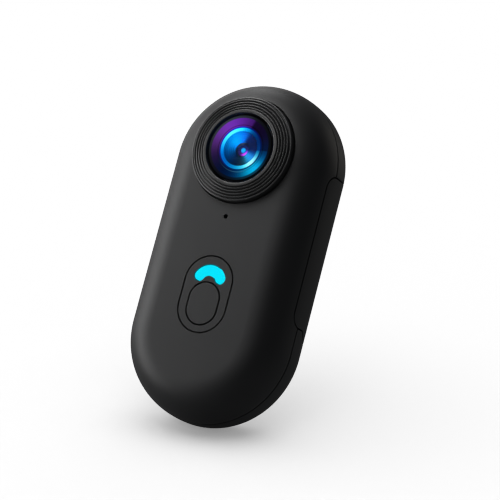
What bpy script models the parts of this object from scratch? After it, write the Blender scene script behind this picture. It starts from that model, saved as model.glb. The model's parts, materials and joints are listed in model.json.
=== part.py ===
"""Thumb-sized wearable action camera, built as an assembly of separate pieces.

Frame: X to the right of someone facing the lens, Y towards the back, Z up along the body.
The origin is the centre of the flat back face. Depths are measured forward from that face,
so a piece at depth d lies at y = -d. All sizes are in metres.
"""

import math

import bmesh
import bpy
from mathutils import Matrix

# Body: a stadium outline with an oval front edge and a tighter rear edge.
BODY_WIDTH = 0.0280
BODY_HEIGHT = 0.0566
BODY_DEPTH = 0.0130
FRONT_ROUND = 0.0064
FRONT_ROUND_DEPTH = 0.0092
FRONT_ROUND_POWER = 2.5
REAR_ROUND = 0.0044
REAR_ROUND_DEPTH = BODY_DEPTH - FRONT_ROUND_DEPTH
WALL = 0.0012
PARTING_DEPTH = 0.0063
SEAM = 0.00025
CLEAR = 0.0003
HALF_WIDTH = BODY_WIDTH / 2
ARC_Z = (BODY_HEIGHT - BODY_WIDTH) / 2
INNER_FRONT = BODY_DEPTH - WALL

# Lens, centred on the upper part of the front face.
LENS_Z = 0.01538
RING_RADIUS = 0.00865
RING_BORE = 0.00587
RING_FACE_RADIUS = 0.0064
RING_RIB_RADIUS = 0.00823
RING_FACE = BODY_DEPTH + 0.00156
RING_RIB_EDGE = BODY_DEPTH + 0.00126
RING_STEP = BODY_DEPTH + 0.00094
RING_RIBS = 4
RING_GROOVE = 0.00022
RING_FLANGE_RADIUS = 0.0093
RING_FLANGE = (0.0098, 0.0104)
GLASS = (0.0140, 0.01445)
GLASS_RADIUS = 0.00555
BARREL_RADIUS = 0.0056
BARREL_FRONT = 0.0137

# Control panel: a stadium plate that holds the status light and the shutter button.
PANEL_WIDTH = 0.0081
PANEL_HEIGHT = 0.0122
PANEL_Z = -0.00853
PANEL_FLANGE = 0.0009
PANEL_FLANGE_BACK = 0.0109
BUTTON_WIDTH = 0.0051
BUTTON_HEIGHT = 0.0067
BUTTON_Z = -0.01005
BUTTON_FLANGE = 0.0007
BUTTON_FLANGE_DEPTH = (0.0102, 0.0106)
LIGHT_Z = -0.00665
LIGHT_RADIUS = 0.00205
LIGHT_BAND = 0.0016
LIGHT_HALF_ANGLE = math.radians(63)
LIGHT_GAP = 0.00015
MIC_Z = 0.0043
MIC_HOLE = 0.00038

# Side door, its bay and what the bay holds.
DOOR_FRONT = 0.00805
DOOR_REAR = 0.0017
DOOR_BOTTOM = -0.0100
DOOR_TOP = 0.0147
DOOR_CORNER = 0.0021
TAIL_DEPTH = (0.0049, 0.00246)
TAIL_BOTTOM = -0.0118
TAIL_ROUND = 0.0010
TAIL_TURN = math.radians(50)
DOOR_WALL = 0.0010
BAY_REAR = 0.0013
RELIEF_X = (0.0110, 0.01338)
RELIEF_DEPTH = (0.0023, 0.0036)
HINGE_X = 0.0129
HINGE_DEPTH = 0.0026
HINGE_RADIUS = 0.0008
HINGE_BORE = 0.0005
PIN_RADIUS = 0.0003
PIN_OVERHANG = 0.0012
PORT_FACE_X = 0.0112
USB_Z = -0.0036
USB_DEPTH = 0.00558
USB_WIDTH = 0.00894
USB_HEIGHT = 0.00316
CARD_Z = 0.0075
CARD_WIDTH = 0.0110
CARD_LENGTH = 0.0150
CARD_THICKNESS = 0.0007
CARD_DEPTH = 0.00475
CARD_OUTER_X = 0.0119

# Boards, battery and chassis: depth ranges, back to front.
BOARD_DEPTH = (0.0029, 0.0037)
BOARD_RADIUS = 0.0102
BOARD_BOTTOM = -0.0096
CHIP_BACK = BOARD_DEPTH[1] + CLEAR
BATTERY_DEPTH = (0.0015, 0.0058)
BATTERY_RADIUS = 0.0102
BATTERY_TOP = -0.0100
CHASSIS_DEPTH = (0.0069, 0.0077)
CHASSIS_RADIUS = 0.0096
CHASSIS_ARC_Z = 0.0135
FRONT_BOARD_DEPTH = (0.0080, 0.0086)
SCREW_PLACES = ((-0.0079, 0.0040), (0.0079, 0.0040), (-0.0065, -0.0190), (0.0065, -0.0190))
FLEX_THICKNESS = 0.0002

ROUND_SEGMENTS = 40
SMALL_SEGMENTS = 24
GLASS_SEGMENTS = 32

# Outline planes: (u, v) is (X, Z), (Y, Z) or (X, Y), and the third value runs along depth, X or Z.
PLANES = {
    "front": Matrix.Rotation(math.radians(90), 4, "X"),
    "side": Matrix(((0, 0, 1, 0), (1, 0, 0, 0), (0, 1, 0, 0), (0, 0, 0, 1))),
    "top": Matrix.Identity(4),
}


# ---------------------------------------------------------------- scene and materials

def clear_scene():
    for obj in list(bpy.data.objects):
        bpy.data.objects.remove(obj, do_unlink=True)


def new_collection(name):
    collection = bpy.data.collections.new(name)
    bpy.context.scene.collection.children.link(collection)
    return collection


def paint(obj, colour, roughness, metallic=0.0):
    """Give a piece its own Principled material."""
    material = bpy.data.materials.new(obj.name)
    material.use_nodes = True
    shader = material.node_tree.nodes["Principled BSDF"]
    shader.inputs["Base Color"].default_value = (*colour, 1.0)
    shader.inputs["Roughness"].default_value = roughness
    shader.inputs["Metallic"].default_value = metallic
    obj.data.materials.clear()
    obj.data.materials.append(material)


def add_object(name, mesh, collection):
    obj = bpy.data.objects.new(name, mesh)
    collection.objects.link(obj)
    if collection is CUTTERS:
        obj.hide_render = True
        obj.display_type = "WIRE"
    return obj


# ---------------------------------------------------------------- outlines

def arc(centre, radius, start, end, steps):
    """Points of an arc, both ends included; angles in radians from +u."""
    return [(centre[0] + radius * math.cos(start + (end - start) * i / steps),
             centre[1] + radius * math.sin(start + (end - start) * i / steps))
            for i in range(steps + 1)]


def stadium(width, height, centre_v, centre_u=0.0, steps=12):
    """Upright stadium outline."""
    radius = width / 2
    straight = height / 2 - radius
    top = arc((centre_u, centre_v + straight), radius, 0, math.pi, steps)
    bottom = arc((centre_u, centre_v - straight), radius, math.pi, 2 * math.pi, steps)
    return top + bottom


def rounded_rectangle(low, high, radius, steps=5):
    """Rectangle from corner low to corner high with round corners."""
    corners = ((high[0], high[1], 0), (low[0], high[1], 90), (low[0], low[1], 180), (high[0], low[1], 270))
    points = []
    for u, v, angle in corners:
        start = math.radians(angle)
        inward_u = -radius if u == high[0] else radius
        inward_v = -radius if v == high[1] else radius
        points += arc((u + inward_u, v + inward_v), radius, start, start + math.pi / 2, steps)
    return points


def half_stadium(radius, arc_v, flat_v, steps=20):
    """A D outline: a half circle about arc_v and straight sides to a flat end at flat_v."""
    start = 0 if arc_v > flat_v else math.pi
    ends = [(-radius, flat_v), (radius, flat_v)] if arc_v > flat_v else [(radius, flat_v), (-radius, flat_v)]
    return arc((0, arc_v), radius, start, start + math.pi, steps) + ends


def light_band(grow):
    """Curved band with round ends, opening downward, widened by grow on every side."""
    half = LIGHT_BAND / 2 + grow
    centre = (0, LIGHT_Z)
    right = math.pi / 2 - LIGHT_HALF_ANGLE
    left = math.pi / 2 + LIGHT_HALF_ANGLE
    ends = [(LIGHT_RADIUS * math.cos(a), LIGHT_Z + LIGHT_RADIUS * math.sin(a)) for a in (left, right)]
    points = arc(centre, LIGHT_RADIUS + half, right, left, 16)
    points += arc(ends[0], half, left, left + math.pi, 8)[1:-1]
    points += arc(centre, LIGHT_RADIUS - half, left, right, 10)
    points += arc(ends[1], half, right + math.pi, right + 2 * math.pi, 8)[1:-1]
    return points


def side_reach(depth):
    """Half the body's width at a depth."""
    if depth >= REAR_ROUND_DEPTH:
        share = (depth - REAR_ROUND_DEPTH) / FRONT_ROUND_DEPTH
        bulge = (1 - min(share, 1) ** FRONT_ROUND_POWER) ** (1 / FRONT_ROUND_POWER)
        return HALF_WIDTH - FRONT_ROUND + FRONT_ROUND * bulge
    share = 1 - depth / REAR_ROUND_DEPTH
    return HALF_WIDTH - REAR_ROUND + REAR_ROUND * math.sqrt(1 - share ** 2)


def front_edge(stop_depth, steps):
    """(reach, depth) points of the oval front edge, from the flat front face to stop_depth."""
    share = (stop_depth - REAR_ROUND_DEPTH) / FRONT_ROUND_DEPTH
    stop = math.acos(share ** (FRONT_ROUND_POWER / 2))
    points = []
    for i in range(steps + 1):
        angle = stop * i / steps
        reach = FRONT_ROUND * math.sin(angle) ** (2 / FRONT_ROUND_POWER)
        depth = FRONT_ROUND_DEPTH * math.cos(angle) ** (2 / FRONT_ROUND_POWER)
        points.append((HALF_WIDTH - FRONT_ROUND + reach, REAR_ROUND_DEPTH + depth))
    return points


def rear_edge(start_depth, side_steps, round_steps):
    """(reach, depth) points from start_depth round the rear edge to the flat back face."""
    drop = start_depth - REAR_ROUND_DEPTH
    depths = [start_depth - drop * i / side_steps for i in range(side_steps)]
    points = [(side_reach(depth), depth) for depth in depths]
    centre = (HALF_WIDTH - REAR_ROUND, REAR_ROUND_DEPTH)
    for i in range(round_steps + 1):
        angle = math.pi / 2 * i / round_steps
        points.append((centre[0] + REAR_ROUND * math.cos(angle),
                       centre[1] - REAR_ROUND_DEPTH * math.sin(angle)))
    return points


# ---------------------------------------------------------------- solids

def extruded(name, loops, plane, low, high, collection=None):
    """Flat plate from closed outlines: the first is the outside and the rest are holes."""
    curve = bpy.data.curves.new(name, "CURVE")
    curve.dimensions = "2D"
    curve.fill_mode = "BOTH"
    curve.extrude = (high - low) / 2
    for loop in loops:
        spline = curve.splines.new("POLY")
        spline.points.add(len(loop) - 1)
        for point, (u, v) in zip(spline.points, loop):
            point.co = (u, v, 0, 1)
        spline.use_cyclic_u = True
    outline = add_object(name + "_outline", curve, CUTTERS)
    outline.matrix_world = PLANES[plane] @ Matrix.Translation((0, 0, (low + high) / 2))
    bpy.context.view_layer.update()
    evaluated = outline.evaluated_get(bpy.context.evaluated_depsgraph_get())
    mesh = bpy.data.meshes.new_from_object(evaluated)
    mesh.transform(outline.matrix_world)
    bpy.data.objects.remove(outline)
    edit = bmesh.new()
    edit.from_mesh(mesh)
    bmesh.ops.remove_doubles(edit, verts=edit.verts, dist=1e-6)
    bmesh.ops.dissolve_limit(edit, angle_limit=math.radians(0.1), verts=edit.verts, edges=edit.edges)
    edit.to_mesh(mesh)
    edit.free()
    return add_object(name, mesh, collection or PARTS)


def box(name, low, high, collection=None):
    """Block between two corners given as (x, depth, z)."""
    edit = bmesh.new()
    bmesh.ops.create_cube(edit, size=1.0)
    size = [high[i] - low[i] for i in range(3)]
    middle = [(high[i] + low[i]) / 2 for i in range(3)]
    bmesh.ops.scale(edit, vec=size, verts=edit.verts)
    bmesh.ops.translate(edit, vec=(middle[0], -middle[1], middle[2]), verts=edit.verts)
    mesh = bpy.data.meshes.new(name)
    edit.to_mesh(mesh)
    edit.free()
    return add_object(name, mesh, collection or PARTS)


def rod(name, radius, centre, low, high, plane="front", segments=SMALL_SEGMENTS, collection=None):
    """Cylinder whose axis stands on an outline plane at centre, from low to high."""
    edit = bmesh.new()
    bmesh.ops.create_cone(edit, cap_ends=True, segments=segments, radius1=radius, radius2=radius,
                          depth=high - low)
    place = PLANES[plane] @ Matrix.Translation((centre[0], centre[1], (low + high) / 2))
    bmesh.ops.transform(edit, matrix=place, verts=edit.verts)
    mesh = bpy.data.meshes.new(name)
    edit.to_mesh(mesh)
    edit.free()
    mesh.shade_smooth()
    mesh.set_sharp_from_angle(angle=math.radians(35))
    return add_object(name, mesh, collection or PARTS)


def turned(name, profile, centre_z, centre_x=0.0, closed=False, segments=ROUND_SEGMENTS, smooth=True):
    """Piece turned about a front-to-back axis from (radius, depth) points, front end first."""
    count = len(profile)
    edges = [(i, i + 1) for i in range(count - 1)]
    if closed:
        edges.append((count - 1, 0))
    mesh = bpy.data.meshes.new(name)
    mesh.from_pydata([(radius, 0, depth) for radius, depth in profile], edges, [])
    obj = add_object(name, mesh, PARTS)
    obj.rotation_euler.x = math.radians(90)
    obj.location = (centre_x, 0, centre_z)
    screw = obj.modifiers.new("turn", "SCREW")
    screw.axis = "Z"
    screw.steps = segments
    screw.render_steps = segments
    screw.use_merge_vertices = True
    screw.merge_threshold = 1e-5
    screw.use_smooth_shade = smooth
    return obj


def body_skin(name, profile, outward_y):
    """Open stadium-shaped skin: the profile spun half a turn, drawn straight and mirrored."""
    edit = bmesh.new()
    points = [edit.verts.new((reach, -depth, ARC_Z)) for reach, depth in profile]
    edges = [edit.edges.new(pair) for pair in zip(points, points[1:])]
    bmesh.ops.spin(edit, geom=points + edges, cent=(0, 0, ARC_Z), axis=(0, 1, 0), dvec=(0, 0, 0),
                   angle=-math.pi, steps=SMALL_SEGMENTS, use_duplicate=False)
    bmesh.ops.remove_doubles(edit, verts=edit.verts, dist=1e-7)
    level = [edge for edge in edit.edges if all(abs(v.co.z - ARC_Z) < 1e-7 for v in edge.verts)]
    grown = bmesh.ops.extrude_edge_only(edit, edges=level)["geom"]
    for item in grown:
        if isinstance(item, bmesh.types.BMVert):
            item.co.z = 0.0
    everything = edit.verts[:] + edit.edges[:] + edit.faces[:]
    bmesh.ops.mirror(edit, geom=everything, axis="Z", merge_dist=1e-6)
    bmesh.ops.remove_doubles(edit, verts=edit.verts, dist=1e-7)
    bmesh.ops.recalc_face_normals(edit, faces=edit.faces)
    bmesh.ops.dissolve_limit(edit, angle_limit=math.radians(0.1), verts=edit.verts, edges=edit.edges)
    widest = max(edit.faces, key=lambda face: face.calc_area())
    if widest.normal.y * outward_y < 0:
        bmesh.ops.reverse_faces(edit, faces=edit.faces)
    mesh = bpy.data.meshes.new(name)
    edit.to_mesh(mesh)
    edit.free()
    obj = add_object(name, mesh, PARTS)
    wall = obj.modifiers.new("wall", "SOLIDIFY")
    wall.thickness = WALL
    wall.offset = -1.0
    wall.use_even_offset = True
    return obj


def ribbon(name, path, z_range):
    """Flexible strip: an (x, depth) path drawn along Z and thickened."""
    edit = bmesh.new()
    points = [edit.verts.new((x, -depth, z_range[0])) for x, depth in path]
    edges = [edit.edges.new(pair) for pair in zip(points, points[1:])]
    grown = bmesh.ops.extrude_edge_only(edit, edges=edges)["geom"]
    for item in grown:
        if isinstance(item, bmesh.types.BMVert):
            item.co.z = z_range[1]
    mesh = bpy.data.meshes.new(name)
    edit.to_mesh(mesh)
    edit.free()
    obj = add_object(name, mesh, PARTS)
    body = obj.modifiers.new("thickness", "SOLIDIFY")
    body.thickness = FLEX_THICKNESS
    body.offset = 0.0
    return obj


def combine(obj, tool, operation):
    modifier = obj.modifiers.new(tool.name, "BOOLEAN")
    modifier.operation = operation
    modifier.solver = "EXACT"
    modifier.object = tool


# ---------------------------------------------------------------- shells

def door_outline(grow, rear_depth):
    """Outline of the side door in Y and Z: round front corners, and a tail that drops towards the hinge."""
    corner = DOOR_CORNER + grow
    front = -DOOR_FRONT - grow + corner
    start, end = TAIL_DEPTH
    points = [(-rear_depth, TAIL_BOTTOM - grow), (-rear_depth, DOOR_TOP + grow)]
    points += arc((front, DOOR_TOP + grow - corner), corner, math.pi / 2, math.pi, 6)
    points += arc((front, DOOR_BOTTOM - grow + corner), corner, math.pi, 1.5 * math.pi, 6)
    points += arc((-start, DOOR_BOTTOM - TAIL_ROUND), TAIL_ROUND - grow, math.pi / 2,
                  math.pi / 2 - TAIL_TURN, 4)
    points += arc((-end, TAIL_BOTTOM + TAIL_ROUND), TAIL_ROUND + grow, 1.5 * math.pi - TAIL_TURN,
                  1.5 * math.pi, 4)
    return points


def bay_opening():
    return extruded("bay_opening", [door_outline(SEAM, BAY_REAR)], "side", 0.0095, 0.0160, CUTTERS)


def front_shell(bay):
    edge = front_edge(PARTING_DEPTH + SEAM / 2, 8)
    shell = body_skin("front_shell", [(0, BODY_DEPTH)] + edge, -1)
    lens_hole = rod("lens_hole", RING_RADIUS + SEAM, (0, LENS_Z), 0.0100, 0.0150,
                    segments=ROUND_SEGMENTS, collection=CUTTERS)
    combine(shell, lens_hole, "DIFFERENCE")
    outline = stadium(PANEL_WIDTH + 2 * SEAM, PANEL_HEIGHT + 2 * SEAM, PANEL_Z)
    combine(shell, extruded("panel_hole", [outline], "front", 0.0100, 0.0150, CUTTERS), "DIFFERENCE")
    mic_hole = rod("mic_hole", MIC_HOLE, (0, MIC_Z), 0.0100, 0.0150, segments=16, collection=CUTTERS)
    combine(shell, mic_hole, "DIFFERENCE")
    combine(shell, bay, "DIFFERENCE")
    for number, place in enumerate(SCREW_PLACES, 1):
        boss = rod(f"boss_{number}", 0.0014, place, CHASSIS_DEPTH[1] + CLEAR, 0.0122, segments=16,
                   collection=CUTTERS)
        combine(shell, boss, "UNION")
        pilot = rod(f"pilot_hole_{number}", 0.0008, place, 0.0070, 0.0106, segments=12, collection=CUTTERS)
        combine(shell, pilot, "DIFFERENCE")
    paint(shell, (0.035, 0.035, 0.036), 0.55)


def rear_shell(bay):
    edge = rear_edge(PARTING_DEPTH - SEAM / 2, 2, 6)
    shell = body_skin("rear_shell", edge + [(0, 0)], 1)
    combine(shell, bay, "DIFFERENCE")
    seats = rod("pin_seats", HINGE_BORE + 0.0001, (HINGE_X, -HINGE_DEPTH), TAIL_BOTTOM - PIN_OVERHANG - CLEAR,
                DOOR_TOP + PIN_OVERHANG + CLEAR, plane="top", segments=16, collection=CUTTERS)
    combine(shell, seats, "DIFFERENCE")
    relief = box("tail_relief", (RELIEF_X[0], RELIEF_DEPTH[0], TAIL_BOTTOM - SEAM),
                 (RELIEF_X[1], RELIEF_DEPTH[1], TAIL_BOTTOM + 0.0004), CUTTERS)
    combine(shell, relief, "DIFFERENCE")
    paint(shell, (0.030, 0.030, 0.031), 0.58)


def shell_gasket():
    """Seal behind the joint of the two shells, open where the side bay is."""
    reach = side_reach(PARTING_DEPTH) - WALL - CLEAR
    outer = stadium(2 * reach, 2 * (reach + ARC_Z), 0.0, steps=18)
    inner_reach = reach - 0.0007
    inner = stadium(2 * inner_reach, 2 * (inner_reach + ARC_Z), 0.0, steps=18)
    seal = extruded("shell_gasket", [outer, inner], "front", PARTING_DEPTH - 0.0008, PARTING_DEPTH + 0.0008)
    gap = box("gasket_gap", (0.009, 0.004, TAIL_BOTTOM - 0.0011), (0.015, 0.008, DOOR_TOP + 0.0011), CUTTERS)
    combine(seal, gap, "DIFFERENCE")
    paint(seal, (0.01, 0.01, 0.01), 0.8)


# ---------------------------------------------------------------- lens

def lens_ring():
    """Stepped bezel: a flat inner face, ribs that fall away from it, and a lower step at the body."""
    profile = [(RING_BORE, RING_FACE - 0.00015), (RING_BORE + 0.00015, RING_FACE), (RING_FACE_RADIUS, RING_FACE)]
    pitch = (RING_RIB_RADIUS - RING_FACE_RADIUS) / RING_RIBS
    fall = (RING_FACE - RING_RIB_EDGE) / RING_RIBS
    for rib in range(RING_RIBS):
        start = RING_FACE_RADIUS + rib * pitch
        top = RING_FACE - (rib + 1) * fall
        profile.append((start, top - RING_GROOVE))
        profile.append((start + 0.40 * pitch, top - RING_GROOVE))
        profile.append((start + 0.55 * pitch, top))
        profile.append((start + pitch, top))
    flange_back, flange_front = RING_FLANGE
    profile += [(RING_RIB_RADIUS, RING_STEP - RING_GROOVE), (RING_RIB_RADIUS + 0.0001, RING_STEP - RING_GROOVE),
                (RING_RIB_RADIUS + 0.00016, RING_STEP), (RING_RADIUS, RING_STEP),
                (RING_RADIUS, flange_front), (RING_FLANGE_RADIUS, flange_front),
                (RING_FLANGE_RADIUS, flange_back), (RING_BORE, flange_back)]
    ring = turned("lens_ring", profile, LENS_Z, closed=True, smooth=False)
    paint(ring, (0.028, 0.028, 0.030), 0.38)


def washer(name, outer, inner, low, high, centre_z=LENS_Z, segments=GLASS_SEGMENTS):
    return turned(name, [(inner, high), (outer, high), (outer, low), (inner, low)], centre_z,
                  closed=True, segments=segments)


def lens_seals_and_stops():
    paint(washer("lens_gasket", 0.00925, 0.00895, 0.01065, 0.0109), (0.01, 0.01, 0.01), 0.8)
    paint(washer("lens_retainer", 0.00515, 0.0046, 0.01325, 0.0136), (0.02, 0.022, 0.028), 0.35)
    paint(washer("aperture_stop", 0.0032, 0.0012, 0.0112, 0.0114), (0.005, 0.005, 0.006), 0.6)


def cover_glass():
    chamfer = 0.0001
    glass = turned("cover_glass", [(0, GLASS[1]), (GLASS_RADIUS - chamfer, GLASS[1]),
                                   (GLASS_RADIUS, GLASS[1] - chamfer), (GLASS_RADIUS, GLASS[0]),
                                   (0, GLASS[0])], LENS_Z)
    paint(glass, (0.55, 0.6, 0.7), 0.05)


def lens_barrel():
    """Stepped tube: wide seat in front, narrower seats for the deeper glass, neck at the rear."""
    profile = [(0.0054, BARREL_FRONT), (BARREL_RADIUS, BARREL_FRONT), (BARREL_RADIUS, 0.0099),
               (0.0029, 0.0099), (0.0029, 0.00775), (0.0020, 0.00775), (0.0020, 0.0097),
               (0.0026, 0.0097), (0.0026, 0.0109), (0.0037, 0.0109), (0.0037, 0.0123),
               (0.0048, 0.0123), (0.0048, 0.0131), (0.0054, 0.0131)]
    barrel = turned("lens_barrel", profile, LENS_Z, closed=True, segments=GLASS_SEGMENTS, smooth=False)
    paint(barrel, (0.012, 0.012, 0.014), 0.5)


def dome(apex, curve, reach, steps):
    """Points of a sphere cap from its apex outward: a positive curve falls towards the back."""
    points = []
    for i in range(steps + 1):
        radius = reach * i / steps
        sag = abs(curve) - math.sqrt(curve ** 2 - radius ** 2)
        points.append((radius, apex - math.copysign(sag, curve)))
    return points


def lens_elements():
    hollow = dome(0.013275, 0.0070, 0.0030, 3)
    front = dome(0.0138, 0.0140, 0.0045, 6) + [(0.0045, 0.0126)] + hollow[::-1]
    paint(turned("front_element", front, LENS_Z, segments=GLASS_SEGMENTS), (0.10, 0.03, 0.25), 0.05)
    middle = dome(0.01295, 0.0080, 0.0034, 4) + [(0.0034, 0.0117), (0, 0.0117)]
    paint(turned("middle_element", middle, LENS_Z, segments=GLASS_SEGMENTS), (0.02, 0.25, 0.55), 0.05)
    rear = dome(0.0109, 0.0050, 0.0022, 3) + [(0.0022, 0.0100), (0, 0.0100)]
    paint(turned("rear_element", rear, LENS_Z, segments=SMALL_SEGMENTS), (0.05, 0.2, 0.6), 0.05)


def sensor_stack():
    """Holder behind the barrel with the filter, the sensor and its board."""
    half = 0.0042
    holder = box("sensor_holder", (-half, 0.00645, LENS_Z - half), (half, 0.0080, LENS_Z + half))
    pocket = box("sensor_pocket", (-0.0036, 0.0060, LENS_Z - 0.0036), (0.0036, 0.0077, LENS_Z + 0.0036), CUTTERS)
    combine(holder, pocket, "DIFFERENCE")
    neck_hole = rod("neck_hole", 0.0032, (0, LENS_Z), 0.0075, 0.0082, collection=CUTTERS)
    combine(holder, neck_hole, "DIFFERENCE")
    paint(holder, (0.02, 0.02, 0.02), 0.6)
    paint(box("ir_filter", (-0.0025, 0.0073, LENS_Z - 0.0025), (0.0025, 0.0075, LENS_Z + 0.0025)),
          (0.3, 0.5, 0.6), 0.05)
    paint(box("image_sensor", (-0.0031, 0.0065, LENS_Z - 0.0025), (0.0031, 0.0070, LENS_Z + 0.0025)),
          (0.05, 0.04, 0.08), 0.2)
    paint(box("sensor_board", (-0.0043, 0.0058, LENS_Z - 0.0043), (0.0043, 0.0062, LENS_Z + 0.0043)),
          (0.02, 0.12, 0.06), 0.5)
    path = [(-0.0046, 0.0060), (-0.0060, 0.0060), (-0.0063, 0.0059), (-0.0064, 0.0056), (-0.0064, CHIP_BACK)]
    paint(ribbon("sensor_flex", path, (0.0138, 0.0168)), (0.35, 0.16, 0.03), 0.4)


# ---------------------------------------------------------------- control panel and microphone

def control_plate():
    """Stadium plate with the button hole, the light slot and a flange behind the shell wall."""
    button_hole = stadium(BUTTON_WIDTH + 2 * SEAM, BUTTON_HEIGHT + 2 * SEAM, BUTTON_Z)
    slot = light_band(LIGHT_GAP)
    plate = extruded("control_plate", [stadium(PANEL_WIDTH, PANEL_HEIGHT, PANEL_Z), button_hole, slot],
                     "front", PANEL_FLANGE_BACK, BODY_DEPTH)
    wide = stadium(PANEL_WIDTH + 2 * PANEL_FLANGE, PANEL_HEIGHT + 2 * PANEL_FLANGE, PANEL_Z)
    inner = stadium(PANEL_WIDTH - 0.0002, PANEL_HEIGHT - 0.0002, PANEL_Z)
    flange = extruded("panel_flange", [wide, inner], "front", PANEL_FLANGE_BACK, INNER_FRONT - CLEAR, CUTTERS)
    combine(plate, flange, "UNION")
    paint(plate, (0.038, 0.038, 0.039), 0.5)


def shutter_button():
    """Button cap with a wider foot behind the plate that keeps it in."""
    foot_back, foot_front = BUTTON_FLANGE_DEPTH
    cap = extruded("shutter_button", [stadium(BUTTON_WIDTH, BUTTON_HEIGHT, BUTTON_Z)], "front",
                   foot_back, BODY_DEPTH)
    wide = stadium(BUTTON_WIDTH + 2 * BUTTON_FLANGE, BUTTON_HEIGHT + 2 * BUTTON_FLANGE, BUTTON_Z)
    foot = extruded("button_foot", [wide], "front", foot_back, foot_front, CUTTERS)
    combine(cap, foot, "UNION")
    paint(cap, (0.040, 0.040, 0.041), 0.5)


def button_switch():
    plunger = rod("switch_plunger", 0.0008, (0, BUTTON_Z), 0.0093, 0.0099, segments=16)
    paint(plunger, (0.6, 0.5, 0.3), 0.5)
    switch = box("tact_switch", (-0.0021, 0.0089, BUTTON_Z - 0.0021), (0.0021, 0.0095, BUTTON_Z + 0.0021))
    hole = rod("switch_hole", 0.0011, (0, BUTTON_Z), 0.0080, 0.0100, segments=16, collection=CUTTERS)
    combine(switch, hole, "DIFFERENCE")
    paint(switch, (0.6, 0.6, 0.62), 0.3, 1.0)


def status_light():
    pipe = extruded("light_pipe", [light_band(0.0)], "front", PANEL_FLANGE_BACK, BODY_DEPTH)
    paint(pipe, (0.0, 0.79, 1.0), 0.3)
    led_z = LIGHT_Z + LIGHT_RADIUS
    paint(box("status_led", (-0.0008, 0.0089, led_z - 0.0004), (0.0008, 0.0095, led_z + 0.0004)),
          (0.9, 0.9, 0.7), 0.4)


def microphone_parts():
    mesh = rod("mic_mesh", 0.0009, (0, MIC_Z), 0.0113, 0.0115, segments=16)
    paint(mesh, (0.01, 0.01, 0.01), 0.7)
    paint(washer("mic_gasket", 0.0012, 0.0005, 0.0102, 0.0110, MIC_Z, 16), (0.02, 0.02, 0.02), 0.8)
    paint(box("microphone", (-0.0015, 0.0089, MIC_Z - 0.0010), (0.0015, 0.0099, MIC_Z + 0.0010)),
          (0.65, 0.6, 0.45), 0.3, 1.0)


def front_board():
    outline = rounded_rectangle((-0.0046, -0.0145), (0.0046, 0.0060), 0.0008, 3)
    paint(extruded("front_board", [outline], "front", *FRONT_BOARD_DEPTH), (0.02, 0.12, 0.06), 0.5)
    path = [(-0.0049, 0.0083), (-0.0060, 0.0083), (-0.0063, 0.0082), (-0.0064, 0.0079), (-0.0064, CHIP_BACK)]
    paint(ribbon("front_flex", path, (-0.0026, 0.0006)), (0.35, 0.16, 0.03), 0.4)


# ---------------------------------------------------------------- chassis, battery and main board

def chassis():
    """Plate between the front board and the main board, cut for the lens, the port and the cable."""
    outline = stadium(2 * CHASSIS_RADIUS, 2 * (CHASSIS_RADIUS + CHASSIS_ARC_Z), 0.0, steps=16)
    lens_clearance = arc((0, LENS_Z), 0.0062, 0, 2 * math.pi, 32)[:-1]
    cable_slot = rounded_rectangle((-0.0070, -0.0030), (-0.0058, 0.0010), 0.0003, 2)
    screw_holes = [arc(place, 0.0008, 0, 2 * math.pi, 12)[:-1] for place in SCREW_PLACES]
    frame = extruded("chassis", [outline, lens_clearance, cable_slot] + screw_holes, "front", *CHASSIS_DEPTH)
    port_notch = box("port_notch", (0.0037, 0.0060, -0.0086), (0.0110, 0.0080, 0.0014), CUTTERS)
    combine(frame, port_notch, "DIFFERENCE")
    paint(frame, (0.45, 0.46, 0.48), 0.4, 1.0)


def chassis_screws():
    profile = [(0, 0.0098), (0.0005, 0.0098), (0.0005, 0.0066), (0.0010, 0.0066), (0.0010, 0.0061), (0, 0.0061)]
    for number, (x, z) in enumerate(SCREW_PLACES, 1):
        screw = turned(f"chassis_screw_{number}", profile, z, centre_x=x, segments=16, smooth=False)
        paint(screw, (0.5, 0.5, 0.52), 0.3, 1.0)


def battery_parts():
    cell = extruded("battery", [half_stadium(BATTERY_RADIUS, -ARC_Z, BATTERY_TOP)], "front", *BATTERY_DEPTH)
    paint(cell, (0.55, 0.56, 0.58), 0.35, 0.6)
    paint(box("battery_lead", (-0.0072, 0.0044, BATTERY_TOP + CLEAR), (-0.0048, 0.0047, -0.0087)),
          (0.5, 0.05, 0.04), 0.5)
    paint(box("battery_connector", (-0.0080, CHIP_BACK, -0.0084), (-0.0040, 0.0052, -0.0060)),
          (0.75, 0.73, 0.65), 0.5)


def main_board():
    outline = half_stadium(BOARD_RADIUS, ARC_Z, BOARD_BOTTOM)
    paint(extruded("main_board", [outline], "front", *BOARD_DEPTH), (0.02, 0.12, 0.06), 0.5)
    can = box("shield_can", (-0.0050, CHIP_BACK, 0.0146), (0.0050, 0.0052, 0.0226))
    hollow = box("can_hollow", (-0.0048, 0.0030, 0.0148), (0.0048, 0.0050, 0.0224), CUTTERS)
    combine(can, hollow, "DIFFERENCE")
    paint(can, (0.62, 0.62, 0.64), 0.3, 1.0)
    paint(box("processor", (-0.0040, CHIP_BACK, 0.0152), (0.0040, 0.0047, 0.0220)), (0.02, 0.02, 0.02), 0.4)
    paint(box("memory_chip", (-0.0096, CHIP_BACK, 0.0046), (-0.0056, 0.0047, 0.0116)), (0.02, 0.02, 0.02), 0.4)
    paint(box("power_chip", (-0.0010, CHIP_BACK, -0.0060), (0.0026, 0.0047, -0.0024)), (0.02, 0.02, 0.02), 0.4)


def back_magnets():
    for name, low_z in (("upper_magnet", 0.0110), ("lower_magnet", -0.0070)):
        outline = rounded_rectangle((-0.0070, low_z), (0.0070, low_z + 0.0080), 0.0008, 3)
        paint(extruded(name, [outline], "front", 0.0015, 0.0025), (0.55, 0.55, 0.56), 0.25, 1.0)


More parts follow.
